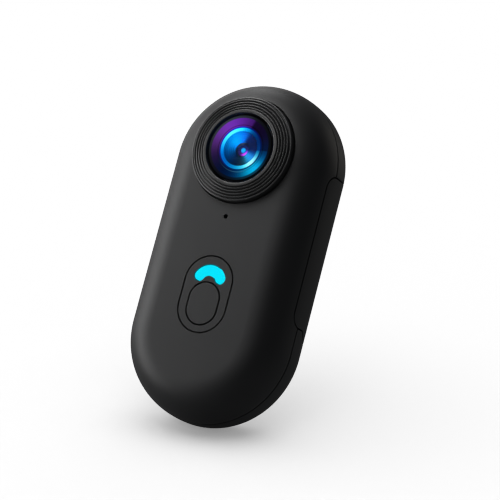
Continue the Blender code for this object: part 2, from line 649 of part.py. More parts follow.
def wifi_antenna():
    outline = rounded_rectangle((-0.0045, -0.0215), (0.0045, -0.0170), 0.0006, 3)
    paint(extruded("wifi_antenna", [outline], "front", 0.0111, 0.0114), (0.5, 0.3, 0.08), 0.4)


# ---------------------------------------------------------------- side door and ports

def side_door():
    """Curved skin that follows the body, with a flat inner pad and a hinge barrel at its rear edge."""
    steps = 12
    depths = [DOOR_FRONT + (DOOR_REAR - DOOR_FRONT) * i / steps for i in range(steps + 1)]
    outer = [(side_reach(depth), -depth) for depth in depths]
    inner = []
    for depth in depths:
        rise = 1e-5
        slope = (side_reach(depth + rise) - side_reach(depth - rise)) / (2 * rise)
        scale = DOOR_WALL / math.hypot(1, slope)
        inner.append((side_reach(depth) - scale, -depth - slope * scale))
    door = extruded("side_door", [outer + inner[::-1]], "top", TAIL_BOTTOM, DOOR_TOP)
    pad = box("door_pad", (0.0125, 0.0040, DOOR_BOTTOM + 0.0005), (0.0132, 0.0072, DOOR_TOP - 0.0005), CUTTERS)
    combine(door, pad, "UNION")
    barrel = rod("door_barrel", HINGE_RADIUS, (HINGE_X, -HINGE_DEPTH), TAIL_BOTTOM, DOOR_TOP, plane="top",
                 collection=CUTTERS)
    combine(door, barrel, "UNION")
    bore = rod("door_bore", HINGE_BORE, (HINGE_X, -HINGE_DEPTH), TAIL_BOTTOM - 0.001, DOOR_TOP + 0.001,
               plane="top", segments=16, collection=CUTTERS)
    combine(door, bore, "DIFFERENCE")
    shape = extruded("door_shape", [door_outline(0.0, 0.0)], "side", 0.0090, 0.0160, CUTTERS)
    combine(door, shape, "INTERSECT")
    paint(door, (0.032, 0.032, 0.033), 0.55)


def door_gasket():
    low = (-0.0074, DOOR_BOTTOM + 0.0006)
    high = (-0.0036, DOOR_TOP - 0.0006)
    inner_low = (low[0] + 0.0004, low[1] + 0.0004)
    inner_high = (high[0] - 0.0004, high[1] - 0.0004)
    loops = [rounded_rectangle(low, high, 0.0012, 4), rounded_rectangle(inner_low, inner_high, 0.0008, 4)]
    paint(extruded("door_gasket", loops, "side", 0.0115, 0.0122), (0.25, 0.25, 0.26), 0.7)


def hinge_pin():
    pin = rod("hinge_pin", PIN_RADIUS, (HINGE_X, -HINGE_DEPTH), TAIL_BOTTOM - PIN_OVERHANG,
              DOOR_TOP + PIN_OVERHANG, plane="top", segments=16)
    paint(pin, (0.6, 0.6, 0.62), 0.25, 1.0)


def port_frame():
    """Face plate of the bay with the two port openings and low walls on three sides."""
    floor_x = PORT_FACE_X - 0.0006
    frame = box("port_frame", (floor_x, 0.0022, TAIL_BOTTOM - 0.0006), (0.0119, 0.0083, DOOR_TOP + 0.0006))
    recess = box("bay_recess", (PORT_FACE_X, 0.0010, TAIL_BOTTOM - 0.0003), (0.0130, 0.0078, DOOR_TOP + 0.0003),
                 CUTTERS)
    combine(frame, recess, "DIFFERENCE")
    usb_hole = stadium(USB_HEIGHT + 2 * SEAM, USB_WIDTH + 2 * SEAM, USB_Z, -USB_DEPTH)
    combine(frame, extruded("usb_hole", [usb_hole], "side", 0.0100, 0.0120, CUTTERS), "DIFFERENCE")
    half = CARD_WIDTH / 2 + CLEAR
    thick = CARD_THICKNESS / 2 + 0.0002
    card_slot = box("card_slot", (0.0100, CARD_DEPTH - thick, CARD_Z - half),
                    (0.0120, CARD_DEPTH + thick, CARD_Z + half), CUTTERS)
    combine(frame, card_slot, "DIFFERENCE")
    paint(frame, (0.02, 0.02, 0.021), 0.5)


def usb_port():
    """Port shell, open at the bay, and the tongue inside it."""
    outline = stadium(USB_HEIGHT, USB_WIDTH, USB_Z, -USB_DEPTH)
    shell = extruded("usb_c_shell", [outline], "side", 0.0042, PORT_FACE_X - 0.0001)
    inside = stadium(USB_HEIGHT - 0.0006, USB_WIDTH - 0.0006, USB_Z, -USB_DEPTH)
    combine(shell, extruded("usb_mouth", [inside], "side", 0.0045, 0.0120, CUTTERS), "DIFFERENCE")
    paint(shell, (0.62, 0.62, 0.64), 0.28, 1.0)
    tongue = box("usb_c_tongue", (0.0055, USB_DEPTH - 0.00035, USB_Z - 0.00335),
                 (0.0106, USB_DEPTH + 0.00035, USB_Z + 0.00335))
    root = box("tongue_root", (0.0048, USB_DEPTH - 0.0008, USB_Z - 0.0036),
               (0.0062, USB_DEPTH + 0.0008, USB_Z + 0.0036), CUTTERS)
    combine(tongue, root, "UNION")
    paint(tongue, (0.02, 0.02, 0.02), 0.5)


def card_reader():
    """Socket on the main board and the memory card pushed into it."""
    inner_x = CARD_OUTER_X - CARD_LENGTH
    socket = box("card_socket", (inner_x - 0.0014, CHIP_BACK, CARD_Z - 0.0062), (0.0103, 0.0055, CARD_Z + 0.0062))
    slot = box("socket_slot", (inner_x - 0.0011, CARD_DEPTH - 0.00055, CARD_Z - 0.0058),
               (0.0110, CARD_DEPTH + 0.00055, CARD_Z + 0.0058), CUTTERS)
    combine(socket, slot, "DIFFERENCE")
    paint(socket, (0.62, 0.62, 0.64), 0.3, 1.0)
    half = CARD_WIDTH / 2
    outline = [(CARD_OUTER_X, CARD_Z - half), (CARD_OUTER_X, CARD_Z + half), (inner_x + 0.0012, CARD_Z + half),
               (inner_x, CARD_Z + half - 0.0012), (inner_x, CARD_Z - half + 0.0014),
               (inner_x + 0.0064, CARD_Z - half + 0.0014), (inner_x + 0.0078, CARD_Z - half)]
    turn = [(x, -z) for x, z in outline]
    card = extruded("micro_sd_card", [turn], "top", -CARD_THICKNESS / 2, CARD_THICKNESS / 2)
    card.data.transform(Matrix.Translation((0, -CARD_DEPTH, 0)) @ Matrix.Rotation(math.radians(-90), 4, "X"))
    paint(card, (0.02, 0.02, 0.022), 0.4)


clear_scene()
PARTS = new_collection("action_camera")
CUTTERS = new_collection("cutters")

door_bay = bay_opening()
front_shell(door_bay)
rear_shell(door_bay)
shell_gasket()
lens_ring()
lens_seals_and_stops()
cover_glass()
lens_barrel()
lens_elements()
sensor_stack()
control_plate()
shutter_button()
button_switch()
status_light()
microphone_parts()
front_board()
chassis()
chassis_screws()
battery_parts()
main_board()
back_magnets()
wifi_antenna()
side_door()
door_gasket()
hinge_pin()
port_frame()
usb_port()
card_reader()
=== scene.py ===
import json
import math

import bmesh
import bpy
from mathutils import Matrix, Vector


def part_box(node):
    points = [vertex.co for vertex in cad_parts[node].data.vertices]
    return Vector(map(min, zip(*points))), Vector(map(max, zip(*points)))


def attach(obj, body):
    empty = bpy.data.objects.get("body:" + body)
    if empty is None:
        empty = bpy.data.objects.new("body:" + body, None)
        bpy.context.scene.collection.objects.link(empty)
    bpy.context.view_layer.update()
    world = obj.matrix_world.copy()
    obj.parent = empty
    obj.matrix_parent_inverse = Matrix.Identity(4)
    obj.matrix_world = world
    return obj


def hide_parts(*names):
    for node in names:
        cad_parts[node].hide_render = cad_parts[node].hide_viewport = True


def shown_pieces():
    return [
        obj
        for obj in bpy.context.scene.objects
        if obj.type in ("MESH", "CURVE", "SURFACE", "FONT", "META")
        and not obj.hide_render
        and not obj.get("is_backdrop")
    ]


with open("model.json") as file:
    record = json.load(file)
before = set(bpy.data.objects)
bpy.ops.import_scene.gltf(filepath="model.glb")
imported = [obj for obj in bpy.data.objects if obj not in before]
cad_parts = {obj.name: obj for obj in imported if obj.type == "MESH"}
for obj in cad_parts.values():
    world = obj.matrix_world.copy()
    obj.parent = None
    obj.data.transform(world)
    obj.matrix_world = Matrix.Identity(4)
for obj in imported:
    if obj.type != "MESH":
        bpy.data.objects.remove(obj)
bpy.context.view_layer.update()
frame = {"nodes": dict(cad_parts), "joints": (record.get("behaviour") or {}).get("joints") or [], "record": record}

# Looks of the thumb-sized wearable action camera: fine shells, turned lens parts, coatings with painted glowing
# reflections, and light.
# Everything is in metres in the CAD model's frame: X right, Y towards the back, Z up, with the flat
# back face at y = 0. Depths are measured forward from that face, so depth d lies at y = -d.


def low(node):
    return Vector(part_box(node)[0])


def high(node):
    return Vector(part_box(node)[1])


def middle(node):
    return (low(node) + high(node)) / 2


def depths(node):
    """(back, front) depth of a node."""
    return -high(node).y, -low(node).y


# Driving sizes, read from the CAD nodes where they show there.
HALF_WIDTH = high("rear_shell").x
HALF_HEIGHT = high("rear_shell").z
ARC_Z = HALF_HEIGHT - HALF_WIDTH
BODY_DEPTH = depths("front_shell")[1]
SEAM = 0.00025
PARTING_DEPTH = depths("rear_shell")[1] + SEAM / 2
WALL = 0.0012
FRONT_ROUND = 0.0064
FRONT_ROUND_DEPTH = 0.0092
FRONT_ROUND_POWER = 2.5
REAR_ROUND = 0.0044
REAR_ROUND_DEPTH = BODY_DEPTH - FRONT_ROUND_DEPTH
EDGE_BREAK = 0.00006
SPIN_STEPS = 96
TURN_STEPS = 160
LENS_Z = middle("cover_glass").z
GRAIN = 0.00013

PLANES = {
    "front": Matrix.Rotation(math.radians(90), 4, "X"),
    "side": Matrix(((0, 0, 1, 0), (1, 0, 0, 0), (0, 1, 0, 0), (0, 0, 0, 1))),
    "top": Matrix.Identity(4),
}


# ---------------------------------------------------------------- node materials

def new_material(name):
    material = bpy.data.materials.new(name)
    material.use_nodes = True
    return material, material.node_tree, material.node_tree.nodes["Principled BSDF"]


def add_node(tree, kind, inputs=None, **settings):
    node = tree.nodes.new(kind)
    for key, value in settings.items():
        setattr(node, key, value)
    for key, value in (inputs or {}).items():
        if isinstance(value, bpy.types.NodeSocket):
            tree.links.new(value, node.inputs[key])
        else:
            node.inputs[key].default_value = value
    return node


def maths(tree, operation, a, b=0.0):
    return add_node(tree, "ShaderNodeMath", {0: a, 1: b}, operation=operation).outputs[0]


def smooth_step(tree, value, start, end):
    """0 below start and 1 above end, smooth between them."""
    node = add_node(tree, "ShaderNodeMapRange", {"Value": value, "From Min": start, "From Max": end},
                    interpolation_type="SMOOTHSTEP")
    return node.outputs["Result"]


def blend_colour(tree, share, first, second):
    node = add_node(tree, "ShaderNodeMix", data_type="RGBA")
    for socket, value in ((node.inputs[0], share), (node.inputs[6], first), (node.inputs[7], second)):
        if isinstance(value, bpy.types.NodeSocket):
            tree.links.new(value, socket)
        else:
            socket.default_value = value
    return node.outputs[2]


def noise(tree, cell, detail=3.0, stretch=(1, 1, 1)):
    """Noise in object space whose features are about cell metres across."""
    place = add_node(tree, "ShaderNodeTexCoord").outputs["Object"]
    scaled = add_node(tree, "ShaderNodeMapping", {"Vector": place, "Scale": stretch}).outputs[0]
    grains = {"Vector": scaled, "Scale": 1 / cell, "Detail": detail}
    return add_node(tree, "ShaderNodeTexNoise", grains).outputs[0]


def opaque(colour):
    return (*colour, 1.0)


def moulded(name, colour, roughness, grain=GRAIN, bump=0.12, variation=0.12, metallic=0.0, specular=0.5):
    """Moulded or finished surface: fine grain in relief, slow drift of colour and gloss."""
    material, tree, shader = new_material(name)
    drift = noise(tree, 0.006, 2.0)
    fine = noise(tree, grain, 4.0)
    dark = opaque([c * (1 - variation) for c in colour])
    light = opaque([min(1, c * (1 + variation)) for c in colour])
    tree.links.new(blend_colour(tree, drift, dark, light), shader.inputs["Base Color"])
    gloss = add_node(tree, "ShaderNodeMapRange", {"Value": fine, "To Min": roughness - 0.05,
                                                  "To Max": roughness + 0.05}).outputs["Result"]
    tree.links.new(gloss, shader.inputs["Roughness"])
    relief = add_node(tree, "ShaderNodeBump", {"Height": fine, "Strength": bump, "Distance": grain * 0.2})
    tree.links.new(relief.outputs[0], shader.inputs["Normal"])
    shader.inputs["Metallic"].default_value = metallic
    shader.inputs["Specular IOR Level"].default_value = specular
    return material


def brushed(name, colour, roughness, stretch=(1, 1, 12)):
    """Metal with fine lines drawn across it."""
    material, tree, shader = new_material(name)
    lines = noise(tree, 0.0004, 3.0, stretch)
    dark = opaque([c * 0.8 for c in colour])
    tree.links.new(blend_colour(tree, lines, dark, opaque(colour)), shader.inputs["Base Color"])
    gloss = add_node(tree, "ShaderNodeMapRange", {"Value": lines, "To Min": roughness * 0.8,
                                                  "To Max": roughness * 1.25}).outputs["Result"]
    tree.links.new(gloss, shader.inputs["Roughness"])
    relief = add_node(tree, "ShaderNodeBump", {"Height": lines, "Strength": 0.08, "Distance": 0.00002})
    tree.links.new(relief.outputs[0], shader.inputs["Normal"])
    shader.inputs["Metallic"].default_value = 1.0
    return material


def board_material(name):
    """Green solder mask with gold pads and fine copper tracks under it."""
    material, tree, shader = new_material(name)
    place = add_node(tree, "ShaderNodeTexCoord").outputs["Object"]
    tracks = add_node(tree, "ShaderNodeTexVoronoi", {"Vector": place, "Scale": 900.0},
                      feature="DISTANCE_TO_EDGE", distance="CHEBYCHEV").outputs["Distance"]
    track = smooth_step(tree, tracks, 0.05, 0.09)
    green = blend_colour(tree, track, (0.035, 0.20, 0.09, 1), (0.010, 0.085, 0.040, 1))
    pads = add_node(tree, "ShaderNodeTexVoronoi", {"Vector": place, "Scale": 620.0}).outputs["Distance"]
    pad = smooth_step(tree, pads, 0.17, 0.15)
    tree.links.new(blend_colour(tree, pad, green, (0.75, 0.52, 0.18, 1)), shader.inputs["Base Color"])
    tree.links.new(pad, shader.inputs["Metallic"])
    relief = add_node(tree, "ShaderNodeBump", {"Height": track, "Strength": 0.3, "Distance": 0.00002})
    tree.links.new(relief.outputs[0], shader.inputs["Normal"])
    shader.inputs["Roughness"].default_value = 0.35
    shader.inputs["Coat Weight"].default_value = 0.3
    return material


def lens_polar(tree, shift=(0.0, 0.0)):
    """Distance from the lens axis in millimetres, and the angle round it as 0 to 1 from +X."""
    place = add_node(tree, "ShaderNodeTexCoord").outputs["Object"]
    parts = add_node(tree, "ShaderNodeSeparateXYZ", {0: place}).outputs
    across = maths(tree, "MULTIPLY", maths(tree, "SUBTRACT", parts[0], shift[0]), 1000.0)
    above = maths(tree, "MULTIPLY", maths(tree, "SUBTRACT", parts[2], LENS_Z + shift[1]), 1000.0)
    across_squared = maths(tree, "MULTIPLY", across, across)
    above_squared = maths(tree, "MULTIPLY", above, above)
    reach = maths(tree, "SQRT", maths(tree, "ADD", across_squared, above_squared))
    turn = maths(tree, "DIVIDE", maths(tree, "ARCTAN2", above, across), 2 * math.pi)
    return reach, maths(tree, "FRACT", maths(tree, "ADD", turn, 1.0))


def around(tree, turn, stops):
    """Colour round the lens from (degrees, colour) stops; the last stop meets the first."""
    ramp_node = add_node(tree, "ShaderNodeValToRGB", {"Fac": turn})
    ramp = ramp_node.color_ramp
    ramp.interpolation = "B_SPLINE"
    stops = [(degrees / 360, opaque(colour)) for degrees, colour in stops]
    ramp.elements[0].position = stops[0][0]
    ramp.elements[0].color = stops[0][1]
    ramp.elements[1].position = stops[-1][0]
    ramp.elements[1].color = stops[-1][1]
    for position, colour in stops[1:-1]:
        ramp.elements.new(position).color = colour
    return ramp_node.outputs[0]


def band(tree, reach, inner, outer, soft):
    """1 between two radii in millimetres, 0 outside them."""
    rising = smooth_step(tree, reach, inner - soft, inner + soft)
    falling = smooth_step(tree, reach, outer + soft, outer - soft)
    return maths(tree, "MULTIPLY", rising, falling)


def finish_painted_glow(tree, shader, colour, glow):
    """Painted reflection colour that glows by itself as emission and is also the base colour, with hardly any real
    mirroring.
    """
    tree.links.new(colour, shader.inputs["Base Color"])
    # The painted reflection colour also glows, as emission.
    tree.links.new(colour, shader.inputs["Emission Color"])
    shader.inputs["Emission Strength"].default_value = glow
    shader.inputs["Roughness"].default_value = 0.12
    shader.inputs["Specular IOR Level"].default_value = 0.02


# Offset of the painted reflection ring's centre from the lens axis.
RING_SHIFT = (0.00016, -0.00012)


def cover_reflection_colour(tree):
    """Painted reflections round the lens axis: a violet zone and a slate rim, both lighter on the upper left and
    lower right as if lit, with the fine arc, line and cyan ring inside them.
    """
    reach, turn = lens_polar(tree)
    ring_reach, ring_turn = lens_polar(tree, RING_SHIFT)
    # Painted reflection: violet glare on the upper left, blue and cyan on the lower right, dark elsewhere.
    violet = around(tree, turn, [
        (0, (0.0, 0.006, 0.030)), (30, (0.003, 0.001, 0.012)), (69, (0.003, 0.001, 0.010)),
        (71, (0.012, 0.002, 0.035)), (74, (0.026, 0.005, 0.075)), (100, (0.075, 0.012, 0.21)),
        (125, (0.11, 0.020, 0.31)), (150, (0.095, 0.020, 0.22)), (180, (0.036, 0.011, 0.072)),
        (205, (0.007, 0.004, 0.025)), (240, (0.0, 0.003, 0.016)), (265, (0.0, 0.006, 0.032)),
        (285, (0.0, 0.030, 0.095)), (302, (0.0, 0.18, 0.34)), (320, (0.002, 0.36, 0.64)),
        (338, (0.0, 0.06, 0.20)), (360, (0.0, 0.006, 0.030))])
    # Painted reflection: cyan ring, brightest on the upper left and lower right.
    ring = around(tree, ring_turn, [
        (0, (0.0, 0.03, 0.16)), (25, (0.0, 0.010, 0.06)), (62, (0.0, 0.02, 0.12)),
        (80, (0.0, 0.17, 0.55)), (100, (0.002, 0.56, 0.95)), (130, (0.08, 0.82, 1.0)),
        (155, (0.03, 0.60, 0.88)), (180, (0.0, 0.25, 0.68)), (205, (0.0, 0.07, 0.36)),
        (240, (0.0, 0.07, 0.28)), (265, (0.0, 0.16, 0.40)), (285, (0.01, 0.32, 0.52)),
        (302, (0.05, 0.62, 0.78)), (320, (0.40, 0.95, 1.0)), (340, (0.01, 0.38, 0.60)),
        (360, (0.0, 0.03, 0.16))])
    # Painted reflection: deep blue line lit on the upper left.
    line = around(tree, ring_turn, [
        (0, (0.0, 0.005, 0.04)), (70, (0.0, 0.003, 0.06)), (95, (0.005, 0.008, 0.34)),
        (140, (0.008, 0.014, 0.46)), (180, (0.011, 0.008, 0.17)), (230, (0.0, 0.004, 0.03)),
        (290, (0.0, 0.02, 0.10)), (360, (0.0, 0.005, 0.04))])
    # Slate rim with painted highlights on the upper left and lower right.
    slate = around(tree, turn, [
        (0, (0.001, 0.002, 0.003)), (65, (0.002, 0.002, 0.004)), (85, (0.010, 0.012, 0.016)),
        (125, (0.022, 0.030, 0.036)), (165, (0.018, 0.022, 0.026)), (205, (0.004, 0.004, 0.006)),
        (270, (0.001, 0.001, 0.004)), (300, (0.002, 0.020, 0.038)), (318, (0.003, 0.032, 0.062)),
        (340, (0.001, 0.004, 0.013)), (360, (0.001, 0.002, 0.003))])
    # Painted glint: a fine grey-blue arc on the lower right.
    fine = around(tree, ring_turn, [
        (0, (0.0, 0.0, 0.0)), (190, (0.0, 0.0, 0.0)), (225, (0.0, 0.008, 0.03)), (262, (0.02, 0.06, 0.12)),
        (285, (0.03, 0.14, 0.22)), (305, (0.0, 0.0, 0.0)), (360, (0.0, 0.0, 0.0))])
    colour = blend_colour(tree, smooth_step(tree, reach, 4.88, 5.04), violet, slate)
    colour = blend_colour(tree, smooth_step(tree, reach, 5.28, 5.42), colour, (0.001, 0.001, 0.001, 1))
    fine_share = maths(tree, "MULTIPLY", band(tree, ring_reach, 3.86, 3.96, 0.05), 0.8)
    colour = blend_colour(tree, fine_share, colour, fine)
    colour = blend_colour(tree, smooth_step(tree, ring_reach, 3.72, 3.62), colour, line)
    return blend_colour(tree, smooth_step(tree, ring_reach, 3.48, 3.40), colour, ring)


def clear_surface(tree, reflect):
    """Thin clear glass: light passes straight through and the surface mirrors more at a slant."""
    smear = noise(tree, 0.003, 2.0)
    gloss = add_node(tree, "ShaderNodeMapRange", {"Value": smear, "To Min": 0.02, "To Max": 0.06})
    mirror = add_node(tree, "ShaderNodeBsdfGlossy", {"Roughness": gloss.outputs["Result"]}).outputs[0]
    through = add_node(tree, "ShaderNodeBsdfTransparent", {"Color": (0.98, 0.99, 1.0, 1)}).outputs[0]
    slant = add_node(tree, "ShaderNodeFresnel", {"IOR": 1.45}).outputs[0]
    share = maths(tree, "MULTIPLY", slant, reflect)
    return add_node(tree, "ShaderNodeMixShader", {0: share, 1: through, 2: mirror}).outputs[0]


def painted_cover_reflections():
    """Painted, glowing reflections on the front face of the cover glass, left clear inside the cyan ring."""
    material, tree, shader = new_material("cover_glass_painted_reflections")
    finish_painted_glow(tree, shader, cover_reflection_colour(tree), 0.95)
    ring_reach = lens_polar(tree, RING_SHIFT)[0]
    place = add_node(tree, "ShaderNodeTexCoord").outputs["Object"]
    y = add_node(tree, "ShaderNodeSeparateXYZ", {0: place}).outputs[1]
    forward = maths(tree, "LESS_THAN", y, -(BODY_DEPTH + 0.0013))
    # Share of the surface that shows the painted reflections: the front face, outside the cyan ring.
    painted_reflection_share = maths(tree, "MULTIPLY", smooth_step(tree, ring_reach, 2.86, 2.94), forward)
    clear = clear_surface(tree, 0.12)
    surface = add_node(tree, "ShaderNodeMixShader", {0: painted_reflection_share, 1: clear, 2: shader.outputs[0]}).outputs[0]
    tree.links.new(surface, tree.nodes["Material Output"].inputs["Surface"])
    return material


def painted_front_reflections():
    """Painted reflection on the front element: a blue disc lit on the upper left and lower right, with fine bright
    rings, glowing by itself; clear over the pupil.
    """
    material, tree, shader = new_material("front_element_painted_reflections")
    reach, turn = lens_polar(tree)
    # Painted reflection: blue disc lit on the upper left and lower right.
    disc = around(tree, turn, [
        (0, (0.001, 0.011, 0.09)), (30, (0.0, 0.004, 0.03)), (60, (0.0, 0.008, 0.08)),
        (72, (0.0, 0.02, 0.16)), (82, (0.0, 0.10, 0.50)), (100, (0.0, 0.20, 0.82)),
        (125, (0.0, 0.38, 1.0)), (150, (0.0, 0.38, 0.90)), (175, (0.0, 0.16, 0.50)),
        (205, (0.0, 0.045, 0.18)), (240, (0.0, 0.010, 0.048)), (275, (0.0, 0.009, 0.028)),
        (298, (0.001, 0.045, 0.075)), (314, (0.012, 0.28, 0.54)), (330, (0.012, 0.28, 0.80)),
        (346, (0.002, 0.06, 0.30)), (360, (0.001, 0.011, 0.09))])
    # Painted fine bright rings across the reflection.
    ripple = maths(tree, "SINE", maths(tree, "MULTIPLY", reach, 17.0))
    swing = {"Value": ripple, "From Min": -1.0, "To Min": 0.66, "To Max": 1.10}
    bright = add_node(tree, "ShaderNodeMapRange", swing).outputs["Result"]
    grey = add_node(tree, "ShaderNodeCombineColor", {0: bright, 1: bright, 2: bright}).outputs[0]
    product = add_node(tree, "ShaderNodeMix", data_type="RGBA", blend_type="MULTIPLY")
    product.inputs[0].default_value = 1.0
    tree.links.new(disc, product.inputs[6])
    tree.links.new(grey, product.inputs[7])
    # Darker towards the disc's edge.
    edge = maths(tree, "MULTIPLY", smooth_step(tree, reach, 2.2, 2.9), 0.30)
    colour = blend_colour(tree, edge, product.outputs[2], (0.0, 0.005, 0.03, 1))
    finish_painted_glow(tree, shader, colour, 0.95)
    inside = smooth_step(tree, reach, 1.36, 1.20)
    through = add_node(tree, "ShaderNodeBsdfTransparent").outputs[0]
    surface = add_node(tree, "ShaderNodeMixShader", {0: inside, 1: shader.outputs[0], 2: through}).outputs[0]
    tree.links.new(surface, tree.nodes["Material Output"].inputs["Surface"])
    return material


def painted_middle_glints():
    """Dark pupil with painted highlights and glints that glow by themselves: grey streaks, a magenta crescent and
    an azure spot at its centre.
    """
    material, tree, shader = new_material("middle_element_painted_glints")
    reach, turn = lens_polar(tree)
    # Painted highlights: grey streaks on the upper left.
    streak = around(tree, turn, [
        (0, (0.0, 0.004, 0.03)), (60, (0.0, 0.001, 0.01)), (98, (0.004, 0.01, 0.03)),
        (115, (0.04, 0.06, 0.09)), (130, (0.003, 0.01, 0.025)), (150, (0.02, 0.04, 0.08)),
        (168, (0.002, 0.01, 0.03)), (240, (0.0, 0.003, 0.015)), (300, (0.005, 0.005, 0.03)),
        (360, (0.0, 0.004, 0.03))])
    # Painted glint: magenta crescent on the lower right.
    crescent = around(tree, turn, [
        (0, (0.06, 0.04, 0.40)), (20, (0.0, 0.01, 0.06)), (235, (0.0, 0.01, 0.05)),
        (265, (0.16, 0.02, 0.40)), (295, (0.70, 0.06, 0.90)), (325, (0.55, 0.05, 0.95)),
        (345, (0.20, 0.04, 0.75)), (360, (0.06, 0.04, 0.40))])
    from_centre = smooth_step(tree, reach, 0.10, 0.45)
    # Painted glint: azure spot at the centre.
    spot = blend_colour(tree, from_centre, (0.01, 0.42, 0.80, 1), (0.0, 0.20, 0.62, 1))
    colour = blend_colour(tree, band(tree, reach, 0.52, 0.92, 0.10), streak, crescent)
    colour = blend_colour(tree, smooth_step(tree, reach, 0.50, 0.34), colour, spot)
    finish_painted_glow(tree, shader, colour, 0.9)
    return material


def light_material():
    """Milky light guide that glows an even cyan with faint clouds in it."""
    material, tree, shader = new_material("light_guide")
    cloud = noise(tree, 0.0015, 2.0)
    colour = blend_colour(tree, cloud, (0.0, 0.74, 0.96, 1), (0.0, 0.82, 1.0, 1))
    tree.links.new(colour, shader.inputs["Emission Color"])
    shader.inputs["Emission Strength"].default_value = 0.97
    shader.inputs["Base Color"].default_value = (0.0, 0.05, 0.06, 1)
    shader.inputs["Specular IOR Level"].default_value = 0.05
    shader.inputs["Roughness"].default_value = 0.4
    return material


# ---------------------------------------------------------------- outlines

def arc(centre, radius, start, end, steps):
    return [(centre[0] + radius * math.cos(start + (end - start) * i / steps),
             centre[1] + radius * math.sin(start + (end - start) * i / steps))
            for i in range(steps + 1)]


def stadium(width, height, centre_v, centre_u=0.0, steps=40):
    radius = width / 2
    straight = height / 2 - radius
    top = arc((centre_u, centre_v + straight), radius, 0, math.pi, steps)
    return top + arc((centre_u, centre_v - straight), radius, math.pi, 2 * math.pi, steps)


def side_reach(depth):
    """Half the body's width at a depth."""
    if depth >= REAR_ROUND_DEPTH:
        share = (depth - REAR_ROUND_DEPTH) / FRONT_ROUND_DEPTH
        bulge = (1 - min(share, 1) ** FRONT_ROUND_POWER) ** (1 / FRONT_ROUND_POWER)
        return HALF_WIDTH - FRONT_ROUND + FRONT_ROUND * bulge
    share = 1 - depth / REAR_ROUND_DEPTH
    return HALF_WIDTH - REAR_ROUND + REAR_ROUND * math.sqrt(1 - share ** 2)


def front_edge(stop_depth, steps):
    share = (stop_depth - REAR_ROUND_DEPTH) / FRONT_ROUND_DEPTH
    stop = math.acos(share ** (FRONT_ROUND_POWER / 2))
    points = []
    for i in range(steps + 1):
        angle = stop * i / steps
        reach = FRONT_ROUND * math.sin(angle) ** (2 / FRONT_ROUND_POWER)
        depth = FRONT_ROUND_DEPTH * math.cos(angle) ** (2 / FRONT_ROUND_POWER)
        points.append((HALF_WIDTH - FRONT_ROUND + reach, REAR_ROUND_DEPTH + depth))
    return points


def rear_edge(start_depth, side_steps, round_steps):
    drop = start_depth - REAR_ROUND_DEPTH
    points = [(side_reach(start_depth - drop * i / side_steps), start_depth - drop * i / side_steps)
              for i in range(side_steps)]
    for i in range(round_steps + 1):
        angle = math.pi / 2 * i / round_steps
        points.append((HALF_WIDTH - REAR_ROUND + REAR_ROUND * math.cos(angle),
                       REAR_ROUND_DEPTH - REAR_ROUND_DEPTH * math.sin(angle)))
    return points


# ---------------------------------------------------------------- mesh pieces

def add_object(name, mesh):
    obj = bpy.data.objects.new(name, mesh)
    bpy.context.scene.collection.objects.link(obj)
    return obj


def baked(obj):
    """Apply an object's modifiers to its mesh."""
    bpy.context.view_layer.update()
    mesh = bpy.data.meshes.new_from_object(obj.evaluated_get(bpy.context.evaluated_depsgraph_get()))
    mesh.transform(obj.matrix_world)
    obj.modifiers.clear()
    obj.data = mesh
    obj.matrix_world = Matrix.Identity(4)
    return obj


def extruded(name, loops, plane, start, end):
    curve = bpy.data.curves.new(name, "CURVE")
    curve.dimensions = "2D"
    curve.fill_mode = "BOTH"
    curve.extrude = (end - start) / 2
    for loop in loops:
        spline = curve.splines.new("POLY")
        spline.points.add(len(loop) - 1)
        for point, (u, v) in zip(spline.points, loop):
            point.co = (u, v, 0, 1)
        spline.use_cyclic_u = True
    outline = add_object(name + "_outline", curve)
    outline.matrix_world = PLANES[plane] @ Matrix.Translation((0, 0, (start + end) / 2))
    bpy.context.view_layer.update()
    mesh = bpy.data.meshes.new_from_object(outline.evaluated_get(bpy.context.evaluated_depsgraph_get()))
    mesh.transform(outline.matrix_world)
    bpy.data.objects.remove(outline)
    edit = bmesh.new()
    edit.from_mesh(mesh)
    bmesh.ops.remove_doubles(edit, verts=edit.verts, dist=1e-6)
    bmesh.ops.dissolve_limit(edit, angle_limit=math.radians(0.1), verts=edit.verts, edges=edit.edges)
    edit.to_mesh(mesh)
    edit.free()
    return add_object(name, mesh)


def block(name, corner, opposite):
    """Block between two (x, depth, z) corners."""
    edit = bmesh.new()
    bmesh.ops.create_cube(edit, size=1.0)
    size = [opposite[i] - corner[i] for i in range(3)]
    centre = [(opposite[i] + corner[i]) / 2 for i in range(3)]
    bmesh.ops.scale(edit, vec=size, verts=edit.verts)
    bmesh.ops.translate(edit, vec=(centre[0], -centre[1], centre[2]), verts=edit.verts)
    mesh = bpy.data.meshes.new(name)
    edit.to_mesh(mesh)
    edit.free()
    return add_object(name, mesh)


def rod(name, radius, centre, start, end, plane="front", segments=64):
    edit = bmesh.new()
    bmesh.ops.create_cone(edit, cap_ends=True, segments=segments, radius1=radius, radius2=radius,
                          depth=end - start)
    place = PLANES[plane] @ Matrix.Translation((centre[0], centre[1], (start + end) / 2))
    bmesh.ops.transform(edit, matrix=place, verts=edit.verts)
    mesh = bpy.data.meshes.new(name)
    edit.to_mesh(mesh)
    edit.free()
    return add_object(name, mesh)


def combine(obj, tool, operation="DIFFERENCE"):
    """Cut, join or intersect, then remove the tool."""
    modifier = obj.modifiers.new("combine", "BOOLEAN")
    modifier.operation = operation
    modifier.solver = "EXACT"
    modifier.object = tool
    baked(obj)
    bpy.data.objects.remove(tool)
    return obj


